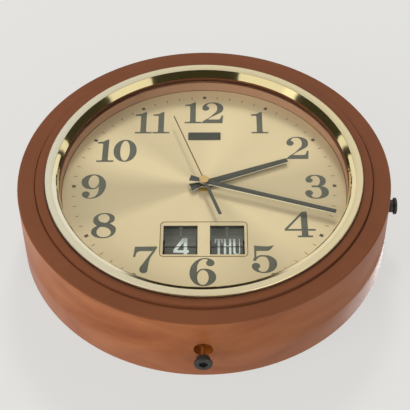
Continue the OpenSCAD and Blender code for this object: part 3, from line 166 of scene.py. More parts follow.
# Figures of the dial, in millimetres from their lower left corner
SERIF_T = 1.9
FIGURES = {
    "0": [
        [(0, 14, 90), (10.5, 28.2, 0), (21, 14, -90), (10.5, 0, 180)],
        [(6.1, 14, 90), (10.5, 26.8, 0), (14.8, 14, -90), (10.5, 1.4, 180)],
    ],
    "1": [
        [
            (0, 0), (15.4, 0), (15.4, SERIF_T), (11.4, SERIF_T, 180, 180), (10.2, 3.1, 90, 90),
            (10.2, 28.4), (9.4, 28.4, 180, 190), (4.9, 26.0, 205, 190), (0, 25.2),
            (0, 23.4), (3.6, 23.4, 0, 0), (4.9, 22.2, -90, -90), (4.9, 3.1, -90, -90),
            (3.9, SERIF_T, 180, 180), (0, SERIF_T),
        ]
    ],
    "2": [
        [
            (0, 0), (19.2, 0), (20.0, 10.2), (18.4, 10.2, -90, -100), (15.2, 5.0, 180, 180),
            (5.6, 5.0, 180, 45), (11.2, 9.8, 35), (20.2, 20.8, 90), (10.2, 28.4, 180),
            (0.4, 20.2, -90), (3.7, 16.9, 0), (7.1, 20.2, 90), (4.5, 24.0, 120, 55),
            (9.6, 27.1, 0), (14.4, 20.8, -90), (10.0, 11.2, -128), (0, 1.4, -133, -90),
        ]
    ],
    "3": [
        [
            (6.2, 13.7), (11.2, 13.7, 0, 0), (14.4, 7.4, -90), (9.7, 1.3, 180),
            (5.2, 3.9, 120, 60), (6.9, 6.9, 90), (3.5, 10.3, 180), (0, 6.8, -90),
            (9.9, 0, 0), (20.8, 7.6, 90), (14.4, 15.1, 170, 10), (19.0, 22.2, 90),
            (9.6, 28.8, 180), (1.2, 22.4, -90), (4.4, 19.2, 0), (7.6, 22.3, 90),
            (5.7, 25.3, 110, 50), (9.5, 27.5, 0), (13.8, 22.0, -90), (10.8, 15.8, 180, 180),
            (6.2, 15.8),
        ]
    ],
    "4": [
        [
            (10.7, 0), (23.4, 0), (23.4, SERIF_T), (20.6, SERIF_T, 180, 180),
            (19.7, 2.9, 90, 90), (19.7, 7.2), (26.1, 7.2), (26.1, 9.2), (19.7, 9.2),
            (19.7, 28.8), (15.6, 28.8), (0, 9.2), (0, 7.2), (14.2, 7.2),
            (14.2, 2.9, -90, -90), (13.4, SERIF_T, 180, 180), (10.7, SERIF_T),
        ],
        [(2.6, 9.2), (14.2, 9.2), (14.2, 24.0)],
    ],
    "5": [
        [
            (2.4, 29.4), (9.5, 28.5, -3), (17.0, 28.9, 12, 20), (18.9, 29.8),
            (13.2, 23.4, 185, 180), (4.2, 23.4), (4.1, 17.0, -90, 40), (11.0, 18.9, 0),
            (21.0, 9.8, -90), (10.3, 0, 180), (0, 7.2, 90), (3.5, 10.7, 0), (7.0, 7.2, -90),
            (5.1, 4.2, -120, -60), (9.7, 1.3, 0), (14.4, 9.6, 90), (10.4, 17.4, 180),
            (4.2, 14.6, 230, -100), (2.6, 12.6, 180), (1.3, 14.0, 90), (2.4, 16.6, 80, 90),
        ]
    ],
    "6": [
        [
            (0, 13.4, 90), (12.6, 29.3, 0), (20.5, 24.1, -90), (17.1, 20.6, 180),
            (13.6, 24.0, 90), (15.1, 27.2, 60, 120), (12.3, 28.1, 180), (6.2, 18.6, -90),
            (6.1, 14.4, -90, 60), (12.9, 18.1, 0), (21.9, 9.2, -90), (11.2, 0, 180),
        ],
        [(6.4, 8.8, 90), (11.1, 16.7, 0), (15.7, 9.0, -90), (11.1, 1.3, 180)],
    ],
    "7": [
        [
            (1.1, 28.2), (19.6, 28.4), (19.6, 27.0, -95, -112), (12.9, 8.0, -95),
            (12.6, 3.4, -90), (9.2, 0, 180), (5.8, 3.6, 90), (8.4, 10.2, 62), (16.0, 23.4),
            (6.6, 23.4, 180, 180), (2.2, 20.0, -105, -100), (1.8, 17.0), (0, 17.0),
        ]
    ],
    "8": [
        [
            (10.3, 0, 0), (20.8, 9.0, 90), (15.4, 16.7, 140, 30), (19.2, 22.4, 90),
            (10.4, 28.5, 180), (0.8, 20.4, -90), (4.4, 13.6, -50, 215), (0, 6.8, -90),
        ],
        [(4.9, 23.0, 90), (9.9, 27.2, 0), (14.7, 22.0, -90), (11.0, 17.4, 180)],
        [(4.6, 6.8, 90), (8.6, 12.7, 0), (16.7, 6.0, -90), (10.5, 1.3, 180)],
    ],
}
SIX_W, SIX_H = 21.9, 29.3
FIGURE_W = {
    "0": 21, "1": 15.4, "2": 20.2, "3": 20.8, "4": 26.1,
    "5": 21, "6": SIX_W, "7": 19.6, "8": 20.8, "9": SIX_W,
}


def figure_contours(digit):
    """The contours of one dial figure; a nine is a six turned over."""
    if digit == "9":
        return [
            [(SIX_W - x, SIX_H - y) for x, y in contour(nodes)] for nodes in FIGURES["6"]
        ]
    return [contour(nodes) for nodes in FIGURES[digit]]


# Where the numerals stand: middle x, foot y, and the gap between two figures
NUMERALS = {
    "12": (-0.4, 79.5, 0.4),
    "1": (51.0, 65.9, 0),
    "2": (84.2, 32.9, 0),
    "3": (98.4, -15.4, 0),
    "4": (81.4, -59.0, 0),
    "5": (50.0, -97.2, 0),
    "6": (-0.6, -110.6, 0),
    "7": (-48.6, -97.2, 0),
    "8": (-84.8, -59.8, 0),
    "9": (-97.0, -14.8, 0),
    "10": (-79.0, 29.8, -0.6),
    "11": (-48.1, 66.2, 0.9),
}

PRINT_T = 0.06 * MM
PRINT_SINK = 0.03 * MM


def on_dial(x, y):
    """A point of the dial's face, in the row frame's x and z."""
    return (x * MM, AXIS_Z + y * MM)


# ---- Materials ----

GRAIN_DEPTH = 0.02 * MM
RUBBER_DEPTH = 0.03 * MM
COARSE_DEPTH = 0.06 * MM

# The Mix node's sockets go by number: its first and second input and its result
MIX_SOCKETS = {"RGBA": (6, 7, 2), "VECTOR": (4, 5, 1)}


def srgb(code):
    """A linear colour from a web colour code."""
    values = [int(code[i : i + 2], 16) / 255 for i in (1, 3, 5)]
    linear = [v / 12.92 if v <= 0.04045 else ((v + 0.055) / 1.055) ** 2.4 for v in values]
    return (*linear, 1.0)


class Nodes:
    """A material under construction. Its methods take and return outputs of nodes."""

    def __init__(self, name):
        self.material = bpy.data.materials.new(name)
        self.material.use_nodes = True
        self.tree = self.material.node_tree
        self.tree.nodes.clear()
        self.output = self.add("ShaderNodeOutputMaterial")

    def add(self, kind, inputs=None, **settings):
        """A node. Its inputs are values or other nodes' outputs, by name or number."""
        node = self.tree.nodes.new(kind)
        for key, value in settings.items():
            setattr(node, key, value)
        for socket, value in (inputs or {}).items():
            if isinstance(value, bpy.types.NodeSocket):
                self.tree.links.new(value, node.inputs[socket])
            else:
                node.inputs[socket].default_value = value
        return node

    def surface(self, shader):
        """The finished material, with a shader on its surface."""
        self.tree.links.new(shader, self.output.inputs["Surface"])
        return self.material

    def shader(self, inputs):
        return self.add("ShaderNodeBsdfPrincipled", inputs).outputs["BSDF"]

    def principled(self, inputs):
        return self.surface(self.shader(inputs))

    def layer(self, share, under, over):
        """One shader over another by a share."""
        return self.add("ShaderNodeMixShader", {0: share, 1: under, 2: over}).outputs[0]

    def coordinates(self, space):
        """X, Y and Z of a point of a part ("Object") or of its normal ("Normal")."""
        return self.split(self.add("ShaderNodeTexCoord").outputs[space])

    def split(self, vector):
        return self.add("ShaderNodeSeparateXYZ", {"Vector": vector}).outputs

    def from_axis(self):
        """The vector to a point of a part from the clock's axis."""
        point = self.add("ShaderNodeTexCoord").outputs["Object"]
        place = {"Vector": point, "Location": (0, 0, -AXIS_Z), "Scale": (1, 0, 1)}
        return self.add("ShaderNodeMapping", place).outputs["Vector"]

    def clock_radius(self):
        """How far a point of a part is from the clock's axis."""
        return self.vector("LENGTH", {0: self.from_axis()})

    def facing(self):
        """How squarely a surface faces the front or the back, from 0 to 1."""
        return self.calc("ABSOLUTE", self.coordinates("Normal")["Y"])

    def calc(self, operation, *terms):
        inputs = dict(enumerate(terms))
        return self.add("ShaderNodeMath", inputs, operation=operation).outputs["Value"]

    def vector(self, operation, inputs):
        outputs = self.add("ShaderNodeVectorMath", inputs, operation=operation).outputs
        return outputs["Value" if operation == "LENGTH" else "Vector"]

    def mix(self, share, first, second, kind="RGBA", **settings):
        """Two colours or vectors, mixed by a share."""
        one, two, result = MIX_SOCKETS[kind]
        inputs = {0: share, one: first, two: second}
        return self.add("ShaderNodeMix", inputs, data_type=kind, **settings).outputs[result]

    def noise(self, scale, detail=4.0, roughness=0.5, distortion=0.0, stretch=None, vector=None):
        coordinates = vector or self.add("ShaderNodeTexCoord").outputs["Object"]
        if stretch:
            mapping = self.add("ShaderNodeMapping", {"Vector": coordinates, "Scale": stretch})
            coordinates = mapping.outputs["Vector"]
        inputs = {"Vector": coordinates, "Scale": scale, "Detail": detail}
        inputs |= {"Roughness": roughness, "Distortion": distortion}
        return self.add("ShaderNodeTexNoise", inputs).outputs["Fac"]

    def ramp(self, stops, source):
        """A colour along stops of (place, colour)."""
        ramp = self.add("ShaderNodeValToRGB", {"Fac": source})
        elements = ramp.color_ramp.elements
        while len(elements) < len(stops):
            elements.new(0.5)
        for element, (place, color) in zip(elements, stops):
            element.position = place
            element.color = color
        return ramp.outputs["Color"]

    def clouded(self, dark, light, clouds):
        """A colour that drifts between two with a noise."""
        return self.ramp([(0.3, srgb(dark)), (0.7, srgb(light))], clouds)

    def spread(self, source, low, high):
        """A share from 0 to 1, spread from a low to a high value."""
        inputs = {"Value": source, "To Min": low, "To Max": high}
        return self.add("ShaderNodeMapRange", inputs).outputs["Result"]

    def share_of(self, source, low, high):
        """Where a value is between a low and a high one, as a share from 0 to 1."""
        inputs = {"Value": source, "From Min": low, "From Max": high}
        return self.add("ShaderNodeMapRange", inputs).outputs["Result"]

    def bump(self, height, strength, distance):
        inputs = {"Height": height, "Strength": strength, "Distance": distance}
        return self.add("ShaderNodeBump", inputs).outputs["Normal"]


def moulded(name, dark, light, rough=(0.35, 0.5), grain=1800, depth=GRAIN_DEPTH):
    """A moulded plastic: faint clouds of colour, uneven gloss and a fine grain."""
    m = Nodes(name)
    return m.principled({
        "Base Color": m.clouded(dark, light, m.noise(14, 5, 0.6)),
        "Roughness": m.spread(m.noise(60, 4), *rough),
        "Specular IOR Level": 0.5,
        "Normal": m.bump(m.noise(grain, 2), 0.25, depth),
    })


# The orange cups round the setting knobs' shafts. Each is sunk into the case's outer wall.
KNOB_Y = (KNOB_LOW.y + KNOB_HIGH.y) / 2
CUP_R = 8.3 * MM
CUP_BELOW_KNOB = 8.2 * MM
CUP_OUTER_R = AXIS_Z - KNOB_HIGH.z - CUP_BELOW_KNOB
CUP_COLOR = "#98541a"


def case_material(name, front, side):
    """Brown moulded plastic whose walls take the side colours and whose front faces take the front
    ones, as painted light and shade.
    """
    m = Nodes(name)
    clouds = m.noise(9, 6, 0.62, distortion=1.6, stretch=(1.0, 2.6, 1.0))
    # Painted light and shade: the walls get their own pair of colours by how squarely they face the
    # front.
    painted_light_walls = m.mix(m.facing(), m.clouded(*side, clouds), m.clouded(*front, clouds))
    y = m.coordinates("Object")["Y"]
    across = m.calc(
        "MULTIPLY",
        m.calc("GREATER_THAN", y, KNOB_Y - CUP_R),
        m.calc("LESS_THAN", y, KNOB_Y + CUP_R),
    )
    sunk = m.calc("LESS_THAN", m.clock_radius(), CUP_OUTER_R)
    return m.principled({
        "Base Color": m.mix(m.calc("MULTIPLY", sunk, across), painted_light_walls, srgb(CUP_COLOR)),
        "Roughness": m.spread(m.noise(30, 5, 0.6), 0.36, 0.5),
        "Specular IOR Level": 0.32,
        "Normal": m.bump(m.noise(1400, 2), 0.2, GRAIN_DEPTH),
    })


def metal(name, color, rough=(0.2, 0.32), scale=90, metallic=1.0):
    """A plated or turned metal with fine wear in its gloss."""
    m = Nodes(name)
    return m.principled({
        "Base Color": srgb(color),
        "Metallic": metallic,
        "Roughness": m.spread(m.noise(scale, 5, 0.6), *rough),
        "Normal": m.bump(m.noise(scale * 6, 2), 0.08, GRAIN_DEPTH),
    })


# The trim ring's lip, steep above the dial and shallow below it
BEVEL_FADE = 20 * MM
UPPER_TILT = math.radians(45)
LOWER_TILT = math.radians(17)
UPPER_CROWN_W = 7.6 * MM
LOWER_CROWN_W = 6.2 * MM
TRIM_R = (TRIM_HIGH.x - TRIM_LOW.x) / 2
UPPER_LIP_R = TRIM_R - UPPER_CROWN_W
LOWER_LIP_R = TRIM_R - LOWER_CROWN_W
LIP_LINE_INSET = 1.5 * MM
LIP_LINE_R = UPPER_LIP_R - LIP_LINE_INSET
# The upper lip's yellower tint is painted reflection.
PAINTED_LIP_REFLECTION_COLOR = "#f6e3a9"
CROWN_ROUGHNESS, LIP_ROUGHNESS = 0.38, 0.07
# A dark line just outside the lip, above the dial only, is painted shade in the groove.
GROOVE_W = 0.35 * MM
GROOVE_SHADE_SHARE = 0.7
GROOVE_SHADE_COLOR = "#2a2414"


def bevel_normal(m, shift, radius, upper, lip):
    """The normal of a flat bevel on the ring's lip, and the ring's own normal elsewhere."""
    tilt = m.spread(upper, LOWER_TILT, UPPER_TILT)
    outward = m.vector("NORMALIZE", {0: shift})
    lean = m.vector("SCALE", {0: outward, "Scale": m.calc("SINE", tilt)})
    face = m.add("ShaderNodeCombineXYZ", {"Y": m.calc("COSINE", tilt)}).outputs["Vector"]
    bevel = m.vector("SCALE", {0: m.vector("ADD", {0: lean, 1: face}), "Scale": -1})
    line = m.calc("GREATER_THAN", radius, LIP_LINE_R)
    share = m.calc("MULTIPLY", lip, m.calc("MAXIMUM", upper, line))
    own = m.add("ShaderNodeNewGeometry").outputs["Normal"]
    return m.vector("NORMALIZE", {0: m.mix(share, own, bevel, "VECTOR")})


def ring_material():
    """Champagne plating: a satin crown and a polished lip down to the glass, with painted
    reflection and painted shade in its colour.

    The lip is a small roll that is shaded as the flat bevel it stands for. Below the dial only
    a bright line is left along the lip's inner edge.
    """
    m = Nodes("trim_metal_look")
    shift = m.from_axis()
    radius = m.vector("LENGTH", {0: shift})
    place = m.split(shift)
    upper = m.share_of(place["Z"], -BEVEL_FADE, BEVEL_FADE)
    edge = m.spread(upper, LOWER_LIP_R, UPPER_LIP_R)
    lip = m.calc("LESS_THAN", radius, edge)
    # Painted reflection: the plating is cooler on the left and warmer on the right.
    plated = m.ramp(
        [(0.0, srgb("#ede5ca")), (0.5, srgb("#f3e3ba")), (1.0, srgb("#f1e0b2"))],
        m.share_of(place["X"], TRIM_LOW.x, TRIM_HIGH.x),
    )
    # Painted reflection: the upper lip takes a yellower tint than the lower.
    color = m.mix(lip, plated, m.mix(upper, plated, srgb(PAINTED_LIP_REFLECTION_COLOR)))
    # Painted shade: a dark line along the groove, fading out below the dial.
    past = m.calc("SUBTRACT", radius, edge)
    groove = m.calc(
        "MULTIPLY", m.calc("GREATER_THAN", past, 0), m.calc("LESS_THAN", past, GROOVE_W)
    )
    shade = m.calc("MULTIPLY", groove, m.calc("MULTIPLY", upper, GROOVE_SHADE_SHARE))
    return m.principled({
        "Base Color": m.mix(shade, color, srgb(GROOVE_SHADE_COLOR)),
        "Metallic": 1.0,
        "Roughness": m.spread(lip, CROWN_ROUGHNESS, LIP_ROUGHNESS),
        "Normal": bevel_normal(m, shift, radius, upper, lip),
    })


# The dial's painted sheen: how bright its rays are painted round its face, as shares of a turn from
# nine o'clock through six, three and twelve
PAINTED_SHEEN_STOPS = (
    (0.0, 0.75), (0.055, 0.78), (0.085, 0.98), (0.165, 0.95), (0.25, 0.98), (0.31, 0.87),
    (0.345, 0.84), (0.385, 1.0), (0.425, 0.98), (0.455, 0.80), (0.52, 0.79), (0.575, 0.98),
    (0.64, 0.94), (0.71, 1.02), (0.80, 0.92), (0.87, 0.86), (0.915, 1.02), (0.945, 1.02),
    (0.975, 0.87), (1.0, 0.75),
)
DIAL_COLOR = "#e4d0a8"


def dial_material():
    """A champagne dial brushed in rays from its middle, under lacquer, with painted sheen in bright
    and dark sectors.
    """
    m = Nodes("dial_metal_look")
    place = m.split(m.from_axis())
    angle = m.calc("ARCTAN2", place["Z"], place["X"])
    base = srgb(DIAL_COLOR)
    stops = [(turn, tuple(c * v for c in base[:3]) + (1,)) for turn, v in PAINTED_SHEEN_STOPS]
    # Painted sheen: the rays' lit and dark fans, set by angle round the face.
    painted_sheen_sectors = m.ramp(stops, m.share_of(angle, -math.pi, math.pi))
    round_dial = m.add("ShaderNodeCombineXYZ", {"X": angle}).outputs["Vector"]
    rays = m.noise(60, 6, vector=round_dial)
    fine = m.ramp([(0.3, (0.95, 0.95, 0.94, 1)), (0.7, (1, 1, 1, 1))], rays)
    tangent = m.add("ShaderNodeTangent", direction_type="RADIAL", axis="Y")
    return m.principled({
        "Base Color": m.mix(1.0, painted_sheen_sectors, fine, blend_type="MULTIPLY"),
        "Metallic": 0.3,
        "Roughness": 0.45,
        "Anisotropic": 0.7,
        "Tangent": tangent.outputs["Tangent"],
    })


INK_LIGHTER = 1.18


def printed(name, color, rough=0.55):
    """Screen printing ink, a little uneven."""
    m = Nodes(name)
    base = srgb(color)
    pale = tuple(min(1, c * INK_LIGHTER) for c in base[:3]) + (1,)
    color = m.ramp([(0.35, base), (0.65, pale)], m.noise(400, 3))
    return m.principled({"Base Color": color, "Roughness": rough})


def glass_material():
    """Thin clear glass: what is behind it shows through unbent, with a faint gloss on top."""
    m = Nodes("glass_look")
    clear = m.add("ShaderNodeBsdfTransparent", {"Color": (0.985, 0.99, 0.98, 1)}).outputs[0]
    gloss = m.add("ShaderNodeBsdfGlossy", {"Roughness": 0.03}).outputs[0]
    slant = m.add("ShaderNodeLayerWeight", {"Blend": 0.25}).outputs["Fresnel"]
    front = m.calc("SUBTRACT", 1.0, m.add("ShaderNodeNewGeometry").outputs["Backfacing"])
    faint = m.calc("MULTIPLY", m.spread(slant, 0.0, 0.35), front)
    return m.surface(m.layer(faint, clear, gloss))


LEAF_PAINTED_LIGHT_H = 9 * MM


def leaf_material():
    """Matt grey leaves, painted paler toward their tops to offset the shade under the calendar
    insert.
    """
    m = Nodes("leaf_plastic_look")
    # Painted light: paler upward, against the shadow of the insert above.
    up = m.share_of(m.coordinates("Object")["Z"], SPLIT_Z, SPLIT_Z + LEAF_PAINTED_LIGHT_H)
    return m.principled({
        "Base Color": m.ramp([(0.0, srgb("#62625a")), (1.0, srgb("#908f86"))], up),
        "Roughness": m.spread(m.noise(60, 4), 0.5, 0.65),
        "Specular IOR Level": 0.2,
    })


def shaft_material(name, knob_start):
    """A shaft that is brown where it leaves the case, and painted black inside its knob as painted
    shade.
    """
    m = Nodes(name)
    # Painted shade: black where the shaft lies deep in the knob's hole.
    inside = m.calc("GREATER_THAN", m.clock_radius(), knob_start)
    brown = m.clouded("#7c4518", "#8a4f1e", m.noise(90, 4))
    return m.principled({
        "Base Color": m.mix(inside, brown, srgb("#141312")),
        "Roughness": 0.7,
        "Specular IOR Level": 0.2,
    })


EDGE_FACING = 0.5


def hand_material(name):
    """A hand painted dark on its face, with its side faces painted pale as a painted highlight of
    its lit edges.
    """
    m = Nodes(name)
    # Painted highlight: the side faces are pale, standing for the lit edges.
    edge = m.calc("LESS_THAN", m.facing(), EDGE_FACING)
    painted = m.clouded("#3f3f38", "#47473f", m.noise(90, 4))
    return m.principled({"Base Color": m.mix(edge, painted, srgb("#f3ecd0")), "Roughness": 0.4})


def rubber_material(name, color):
    """A soft skin with a coarse, dull grain."""
    m = Nodes(name)
    return m.principled({
        "Base Color": srgb(color),
        "Roughness": m.spread(m.noise(200), 0.6, 0.8),
        "Normal": m.bump(m.noise(900, 3), 0.3, RUBBER_DEPTH),
    })


LOOKS = {
    # The case's outer wall is painted lighter and more coppery than its front: painted light.
    "case_plastic": case_material(
        "case_plastic_look", ("#653619", "#6d3c1e"), ("#83451f", "#a06137")
    ),
    # The bezel's walls are painted darker red-brown than its front: painted shade.
    "bezel_plastic": case_material(
        "bezel_plastic_look", ("#653619", "#6d3c1e"), ("#5f3620", "#693d24")
    ),
    "trim_metal": ring_material(),
    "glass": glass_material(),
    "seal_rubber": rubber_material("seal_rubber_look", "#8a5f46"),
    "surround_plastic": moulded("surround_plastic_look", "#a57b62", "#ae866b", (0.4, 0.55)),
    "dial_metal": dial_material(),
    "steel": metal("steel_look", "#b4b4b0", (0.25, 0.4), 60),
    "dark_paint": moulded("dark_paint_look", "#53534a", "#5b5b52", (0.3, 0.42)),
    "brass_part": metal("brass_part_look", "#c9a55c", (0.2, 0.35), 60),
    "second_wire": metal("second_wire_look", "#6d5a36", (0.45, 0.55), 60, metallic=0.4),
    "cap_metal": metal("cap_metal_look", "#f0cc8c", (0.45, 0.55), 90),
    "grey_plastic": moulded("grey_plastic_look", "#a7a7a2", "#b1b1ab"),
    "clear_plastic": moulded("clear_plastic_look", "#c4c8c2", "#cfd2cc", (0.15, 0.25)),
    "knob_plastic": moulded("knob_plastic_look", "#201f1c", "#2a2824", (0.3, 0.45)),
    "leaf_plastic": leaf_material(),
    "coil_copper": metal("coil_copper_look", "#9a5226", (0.3, 0.5), 300),
    "board": moulded("board_look", "#1f5a34", "#27663c"),
    "lead_insulation": rubber_material("lead_insulation_look", "#8f2a20"),
    "tray_plastic": moulded("tray_plastic_look", "#c9c1a8", "#d2cab2"),
    "cell_jacket": moulded("cell_jacket_look", "#8e2f22", "#9a3527", (0.25, 0.35)),
    "cover_plastic": moulded(
        "cover_plastic_look", "#3f271a", "#4a2f20", (0.45, 0.6), 1200, COARSE_DEPTH
    ),
}
INK = printed("dial_ink_look", "#57574c")
LINE_INK = printed("line_ink_look", "#6a5430")
MARK_INK = printed("mark_ink_look", "#554d3f")
LEAF_INK = printed("leaf_ink_look", "#d3dad4", 0.5)

# Looks of single parts that differ from the rest of their slot
PART_LOOKS = {
    "badge_plate": moulded("badge_look", "#3a3930", "#424137", (0.3, 0.42)),
    "hour_hand": hand_material("hour_hand_look"),
    "minute_hand": hand_material("minute_hand_look"),
    "second_weight": moulded("second_weight_look", "#45453d", "#4c4c44", (0.35, 0.5)),
    "calendar_shaft": shaft_material("calendar_shaft_look", AXIS_Z - KNOB_HIGH.z),
    "time_shaft": shaft_material("time_shaft_look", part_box("time_knob")[0].x),
    "calendar_frame": moulded("calendar_frame_look", "#55544d", "#5c5b54", (0.5, 0.65)),
    "date_drum": moulded("date_drum_look", "#45443e", "#4c4b45", (0.5, 0.65)),
    "day_drum": moulded("day_drum_look", "#45443e", "#4c4b45", (0.5, 0.65)),
    "leaf_fingers": moulded("leaf_fingers_look", "#aaa99e", "#b2b1a6", (0.5, 0.6)),
}

for part in frame["record"]["subparts"]:
    shown = frame["nodes"].get(part["node"])
    if shown is None:
        continue
    shown.data.materials.clear()
    shown.data.materials.append(PART_LOOKS.get(part["node"], LOOKS[part["material_slot"]]))


# ---- Printing on the dial ----


def print_piece(name, shapes, ink):
    """Printing on the dial: plates as thin as ink, sunk a hair into its face."""
    verts, faces = solid_outlines(shapes, DIAL_Y - PRINT_T, DIAL_Y + PRINT_SINK)
    mesh_piece(name, verts, faces, ink)


def numeral(hour):
    """The figures of an hour, side by side."""
    middle, foot, gap = NUMERALS[hour]
    width = sum(FIGURE_W[digit] for digit in hour) + gap * (len(hour) - 1)
    left = middle - width / 2
    shapes = []
    for digit in hour:
        shapes.append(
            [[on_dial(left + x, foot + y) for x, y in c] for c in figure_contours(digit)]
        )
        left += FIGURE_W[digit] + gap
    print_piece("numeral_" + hour, shapes, INK)


def bar_mark(radius, length, width, degrees):
    """A short bar along a radius of the dial; degrees run clockwise from twelve."""
    a = math.radians(90 - degrees)
    along = Vector((math.cos(a), math.sin(a)))
    across = Vector((-along.y, along.x))
    corners = []
    for u, v in ((-1, -1), (1, -1), (1, 1), (-1, 1)):
        p = along * (radius + u * length / 2) + across * v * width / 2
        corners.append(on_dial(p.x, p.y))
    return [corners]


MARK_R = 114.2
HOUR_MARK = (3.3, 2.9)
MINUTE_MARK = (3.3, 0.6)

for hour in NUMERALS:
    numeral(hour)
print_piece("hour_marks", [bar_mark(MARK_R, *HOUR_MARK, 30 * h) for h in range(12)], MARK_INK)
print_piece(
    "minute_marks",
    [bar_mark(MARK_R, *MINUTE_MARK, 6 * minute) for minute in range(60) if minute % 5],
    LINE_INK,
)

# The line round the calendar insert, and a fine one where the tunnel meets the dial
INSERT_W = (INSERT_HIGH.x - INSERT_LOW.x) / MM
INSERT_H = (INSERT_HIGH.z - INSERT_LOW.z) / MM
INSERT_Y = ((INSERT_LOW.z + INSERT_HIGH.z) / 2 - AXIS_Z) / MM
LINE_W = 0.7
LINE_OUT = 0.3
LINE_CORNER_R = 3.9
CORNER_STEPS = 6
TUNNEL_WALL = 2.2
FOOT_R = (TUNNEL_HIGH.x - TUNNEL_LOW.x) / 2 / MM - TUNNEL_WALL
FOOT_GAP = 0.02
FOOT_W = 0.6
FOOT_STEPS = 240


def insert_loop(inset):
    """Points round the calendar insert, inside the line's outer edge."""
    radius = LINE_CORNER_R - inset
    half_w = INSERT_W / 2 + LINE_OUT - inset
    half_h = INSERT_H / 2 + LINE_OUT - inset
    points = []
    for side, top, start in ((1, 1, 0), (-1, 1, 90), (-1, -1, 180), (1, -1, 270)):
        for k in range(CORNER_STEPS + 1):
            a = math.radians(start + 90 * k / CORNER_STEPS)
            x = side * (half_w - radius) + radius * math.cos(a)
            y = INSERT_Y + top * (half_h - radius) + radius * math.sin(a)
            points.append(on_dial(x, y))
    return points


def circle(radius):
    turns = [2 * math.pi * k / FOOT_STEPS for k in range(FOOT_STEPS)]
    return [on_dial(radius * math.cos(t), radius * math.sin(t)) for t in turns]


for line_name, rim, hole in (
    ("calendar_outline", insert_loop(0), insert_loop(LINE_W)),
    ("dial_foot_line", circle(FOOT_R - FOOT_GAP), circle(FOOT_R - FOOT_W)),
):
    print_piece(line_name, [[rim, hole[::-1]]], LINE_INK)

# ---- Characters on the leaves ----
#
# They are drawn 19 mm high from their lower left corner, and scaled to the height they have.

LEAF_CHAR_H = 19.0
LETTERS_H = 17.0
LEAF_FOUR = [
    [(8.6, 0), (11.6, 0), (11.6, 3.2), (13.0, 3.2), (13.0, 6.0), (11.6, 6.0), (11.6, 19.0),
     (7.6, 19.0), (0, 6.4), (0, 3.2), (8.6, 3.2)],
    [(3.0, 6.0), (8.6, 6.0), (8.6, 14.6)],
]
LETTER_SERIF = 0.45
LETTER_T = [
    [(2.1, 0), (4.9, 0), (4.9, LETTER_SERIF), (4.5, LETTER_SERIF), (4.5, 18.3), (5.2, 18.3, 0, -80),
     (6.3, 13.6), (6.8, 13.6), (6.6, 19.0), (0.2, 19.0), (0, 13.6), (0.5, 13.6, 80, 0),
     (1.6, 18.3), (2.5, 18.3), (2.5, LETTER_SERIF), (2.1, LETTER_SERIF)],
]
LETTER_H = [
    [(0.1, 0), (2.7, 0), (2.7, 0.4), (2.35, 0.4), (2.35, 9.6), (4.95, 9.6), (4.95, 0.4),
     (4.6, 0.4), (4.6, 0), (7.2, 0), (7.2, 0.4), (6.8, 0.4), (6.8, 18.6), (7.2, 18.6),
     (7.2, 19.0), (4.6, 19.0), (4.6, 18.6), (4.95, 18.6), (4.95, 10.4), (2.35, 10.4),
     (2.35, 18.6), (2.7, 18.6), (2.7, 19.0), (0.1, 19.0), (0.1, 18.6), (0.5, 18.6),
     (0.5, 0.4), (0.1, 0.4)],
]
LETTER_U = [
    [(0.1, 19.0), (0.1, 18.6), (0.5, 18.6), (0.5, 3.6, -90), (3.5, 0, 0), (6.3, 3.6, 90),
     (6.3, 18.6), (6.8, 18.6), (6.8, 19.0), (5.1, 19.0), (5.1, 18.6), (5.5, 18.6),
     (5.5, 3.6, -90), (4.0, 0.9, 180), (2.4, 3.6, 90), (2.4, 18.6), (2.8, 18.6), (2.8, 19.0)],
]
SPLIT_GAP = 0.22 * MM
LEAF_PRINT_T = 0.02 * MM


def half_of(name, shapes, keep_above, y, body):
    """Half of some characters, cut along the leaves' split line, as thin raised ink."""
    verts, faces = solid_outlines(shapes, y - LEAF_PRINT_T, y + PRINT_SINK)
    gap = SPLIT_GAP if keep_above else -SPLIT_GAP

    def cut(work):
        result = bmesh.ops.bisect_plane(
            work,
            geom=work.verts[:] + work.edges[:] + work.faces[:],
            plane_co=Vector((0, 0, SPLIT_Z + gap)),
            plane_no=Vector((0, 0, 1)),
            clear_outer=not keep_above,
            clear_inner=keep_above,
        )
        edges = [e for e in result["geom_cut"] if isinstance(e, bmesh.types.BMEdge)]
        bmesh.ops.holes_fill(work, edges=edges, sides=0)

    mesh_piece(name, verts, faces, LEAF_INK, body, cut)


def leaf_characters(name, glyphs, left, height, body):
    """Characters across a window: the upper half rides on the falling leaf."""

    def on_leaf(x, y):
        return ((left + x) * MM, SPLIT_Z + (y / LEAF_CHAR_H - 0.5) * height * MM)

    shapes = [
        [[on_leaf(offset + x, y) for x, y in contour(c)] for c in glyph]
        for glyph, offset in glyphs
    ]
    half_of(name + "_upper", shapes, True, LEAF_Y, body)
    half_of(name + "_lower", shapes, False, LOWER_LEAF_Y, "root")


# The characters with their places, and how far left of the leaf's middle they start
DATE = [(LEAF_FOUR, 0)]
DATE_LEFT = 6.0
WEEKDAY = [(LETTER_T, 0), (LETTER_H, 7.3), (LETTER_U, 15.2)]
WEEKDAY_LEFT = 10.6

date_middle = (LEAF_LOW.x + LEAF_HIGH.x) / 2 / MM
day_middle = (DAY_LOW.x + DAY_HIGH.x) / 2 / MM
leaf_characters("date_four", DATE, date_middle - DATE_LEFT, LEAF_CHAR_H, "date_flap")
leaf_characters("weekday", WEEKDAY, day_middle - WEEKDAY_LEFT, LETTERS_H, "day_flap")

# ---- Masks round the falling leaves ----
#
# Each fills its window above its leaf and beside it, in the leaf's plane.

